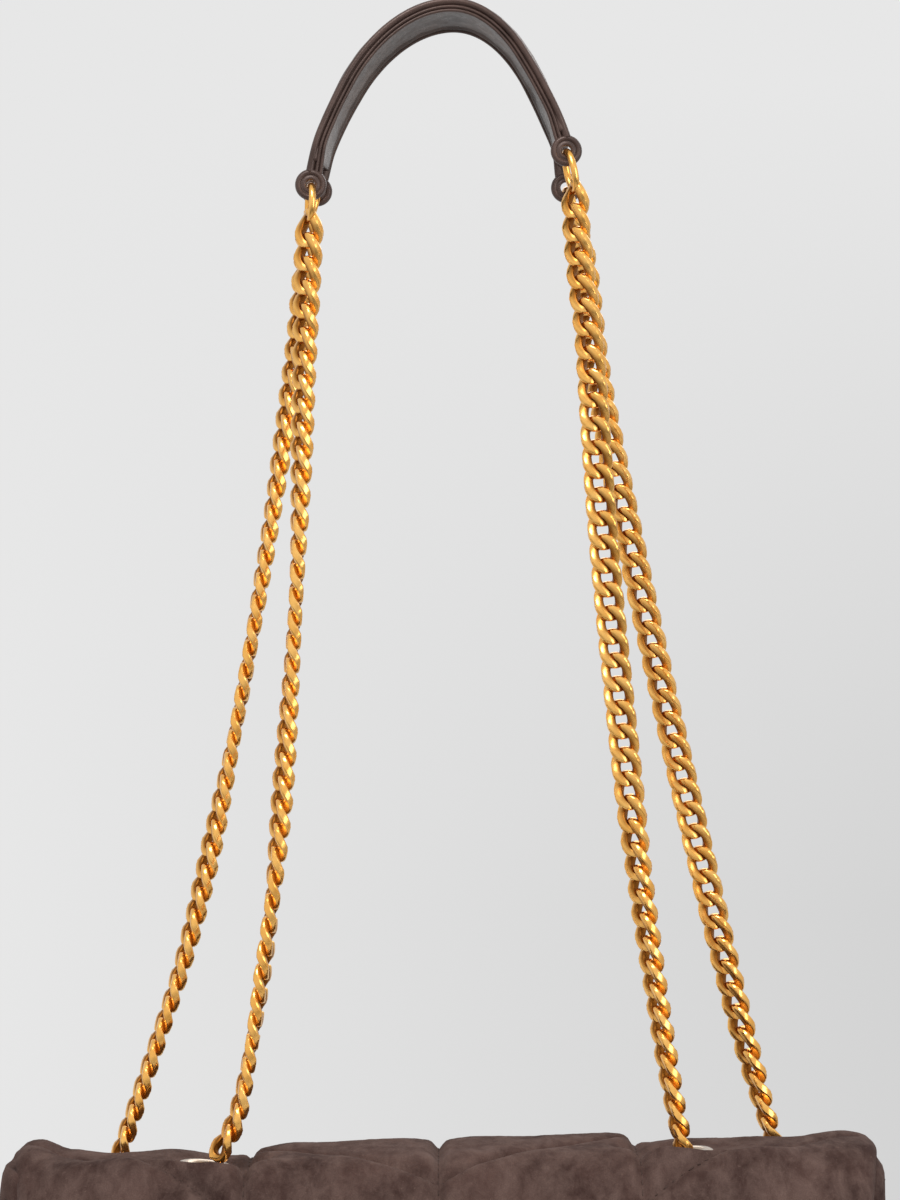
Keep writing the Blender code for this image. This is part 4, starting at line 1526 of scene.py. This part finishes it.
pad_skin("pad_outer_skin", 0.0, PAD_UPPER, 0.0, outer_relief, PAD_SKIN, ("pad_upper", "pad_core"))
pad_skin("pad_inner_skin", PAD_UPPER - 0.0004, PAD_LOWER, 0.0010, inner_relief, PAD_UNDER, ("pad_lower",))
for pad_row in ROW_Y:
    build_trim(pad_row)
for tab_key in TABS:
    build_tab(tab_key)


# What stays from the CAD


def carry_over(node_name, kind):
    carried = frame["nodes"][node_name]
    carried.data.materials.clear()
    carried.data.materials.append(kind)


carry_over("snap_lower", PALE_GOLD)
carry_over("snap_upper", PALE_GOLD)
carry_over("base_board", BOARD)


# Stage, light and camera


def build_floor():
    """A pale round floor that fades out towards its rim."""
    radius = 0.62
    bm = bmesh.new()
    bmesh.ops.create_circle(bm, cap_ends=True, radius=radius, segments=96)
    mesh = bpy.data.meshes.new("floor")
    bm.to_mesh(mesh)
    bm.free()
    floor = bpy.data.objects.new("floor", mesh)
    bpy.context.scene.collection.objects.link(floor)
    paint = bpy.data.materials.new("pale_floor")
    paint.use_nodes = True
    tree = paint.node_tree
    shader = tree.nodes["Principled BSDF"]
    shader.inputs["Base Color"].default_value = linear(226, 226, 226)
    shader.inputs["Roughness"].default_value = 0.9
    distance = node(tree, "ShaderNodeVectorMath", {0: object_place(tree)}, operation="LENGTH")
    fade = spread(tree, distance.outputs["Value"], 0.28, 0.60, 1.0, 0.0)
    tree.links.new(fade, shader.inputs["Alpha"])
    mesh.materials.append(paint)


def build_world():
    """A pale backdrop, darker to the lower right, and a room that is darker low down for reflections."""
    upper_left, lower_right = 0.799, 0.655
    room_light = (0.36, 0.36, 0.37, 1)
    world = bpy.data.worlds.new("pale_room")
    bpy.context.scene.world = world
    world.use_nodes = True
    tree = world.node_tree
    direction = node(tree, "ShaderNodeTexCoord").outputs["Generated"]
    parts = node(tree, "ShaderNodeSeparateXYZ", {"Vector": direction})
    sideways = spread(tree, parts.outputs["X"], -0.16, 0.16)
    downward = spread(tree, parts.outputs["Z"], 0.18, -0.11)
    drop = arithmetic(tree, "MULTIPLY", sideways, downward)
    pale = spread(tree, drop, 0.0, 1.0, upper_left, lower_right)
    front = spread(tree, parts.outputs["Y"], 0.15, -0.35)
    height = spread(tree, parts.outputs["Z"], -0.70, -0.02, 0.18, 1.15)
    dimmed = arithmetic(tree, "MULTIPLY", pale, height)
    ray = node(tree, "ShaderNodeLightPath")
    glossy = arithmetic(tree, "MULTIPLY", ray.outputs["Is Glossy Ray"], front)
    seen = arithmetic(tree, "MAXIMUM", ray.outputs["Is Camera Ray"], ray.outputs["Is Glossy Ray"])
    seen = arithmetic(tree, "MAXIMUM", seen, ray.outputs["Is Transmission Ray"])
    shown = node(tree, "ShaderNodeMix", {0: glossy, 2: pale, 3: dimmed}, data_type="FLOAT").outputs[0]
    colour = node(tree, "ShaderNodeCombineColor", {"Red": shown, "Green": shown, "Blue": shown})
    room = blend_colours(tree, seen, room_light, colour.outputs["Color"])
    tree.links.new(room, tree.nodes["Background"].inputs["Color"])


def lamp(name, place, aim, size, power):
    light = bpy.data.lights.new(name, "AREA")
    light.shape = "RECTANGLE"
    light.size, light.size_y = size
    light.energy = power
    made = bpy.data.objects.new(name, light)
    made.location = place
    made.rotation_euler = (Vector(aim) - Vector(place)).to_track_quat("-Z", "Y").to_euler()
    bpy.context.scene.collection.objects.link(made)


def build_camera():
    camera = bpy.data.objects.new("camera", bpy.data.cameras.new("camera"))
    camera.location = (0.0016, -0.920, 0.344)
    camera.rotation_euler = (math.pi / 2, 0, 0)
    camera.data.sensor_width = 36
    camera.data.lens = 84
    camera.data.clip_start = 0.05
    bpy.context.scene.collection.objects.link(camera)
    bpy.context.scene.camera = camera


build_floor()
build_world()
lamp("key", (-0.30, -0.95, 1.45), (0, 0, 0.25), (0.6, 0.6), 14)
lamp("fill", (0.95, -0.95, 0.45), (0, 0, 0.25), (0.6, 0.9), 6)
lamp("rim", (0.25, 0.95, 0.95), (0, 0, 0.30), (0.9, 0.6), 3)
build_camera()
bpy.context.scene.view_settings.view_transform = "Standard"
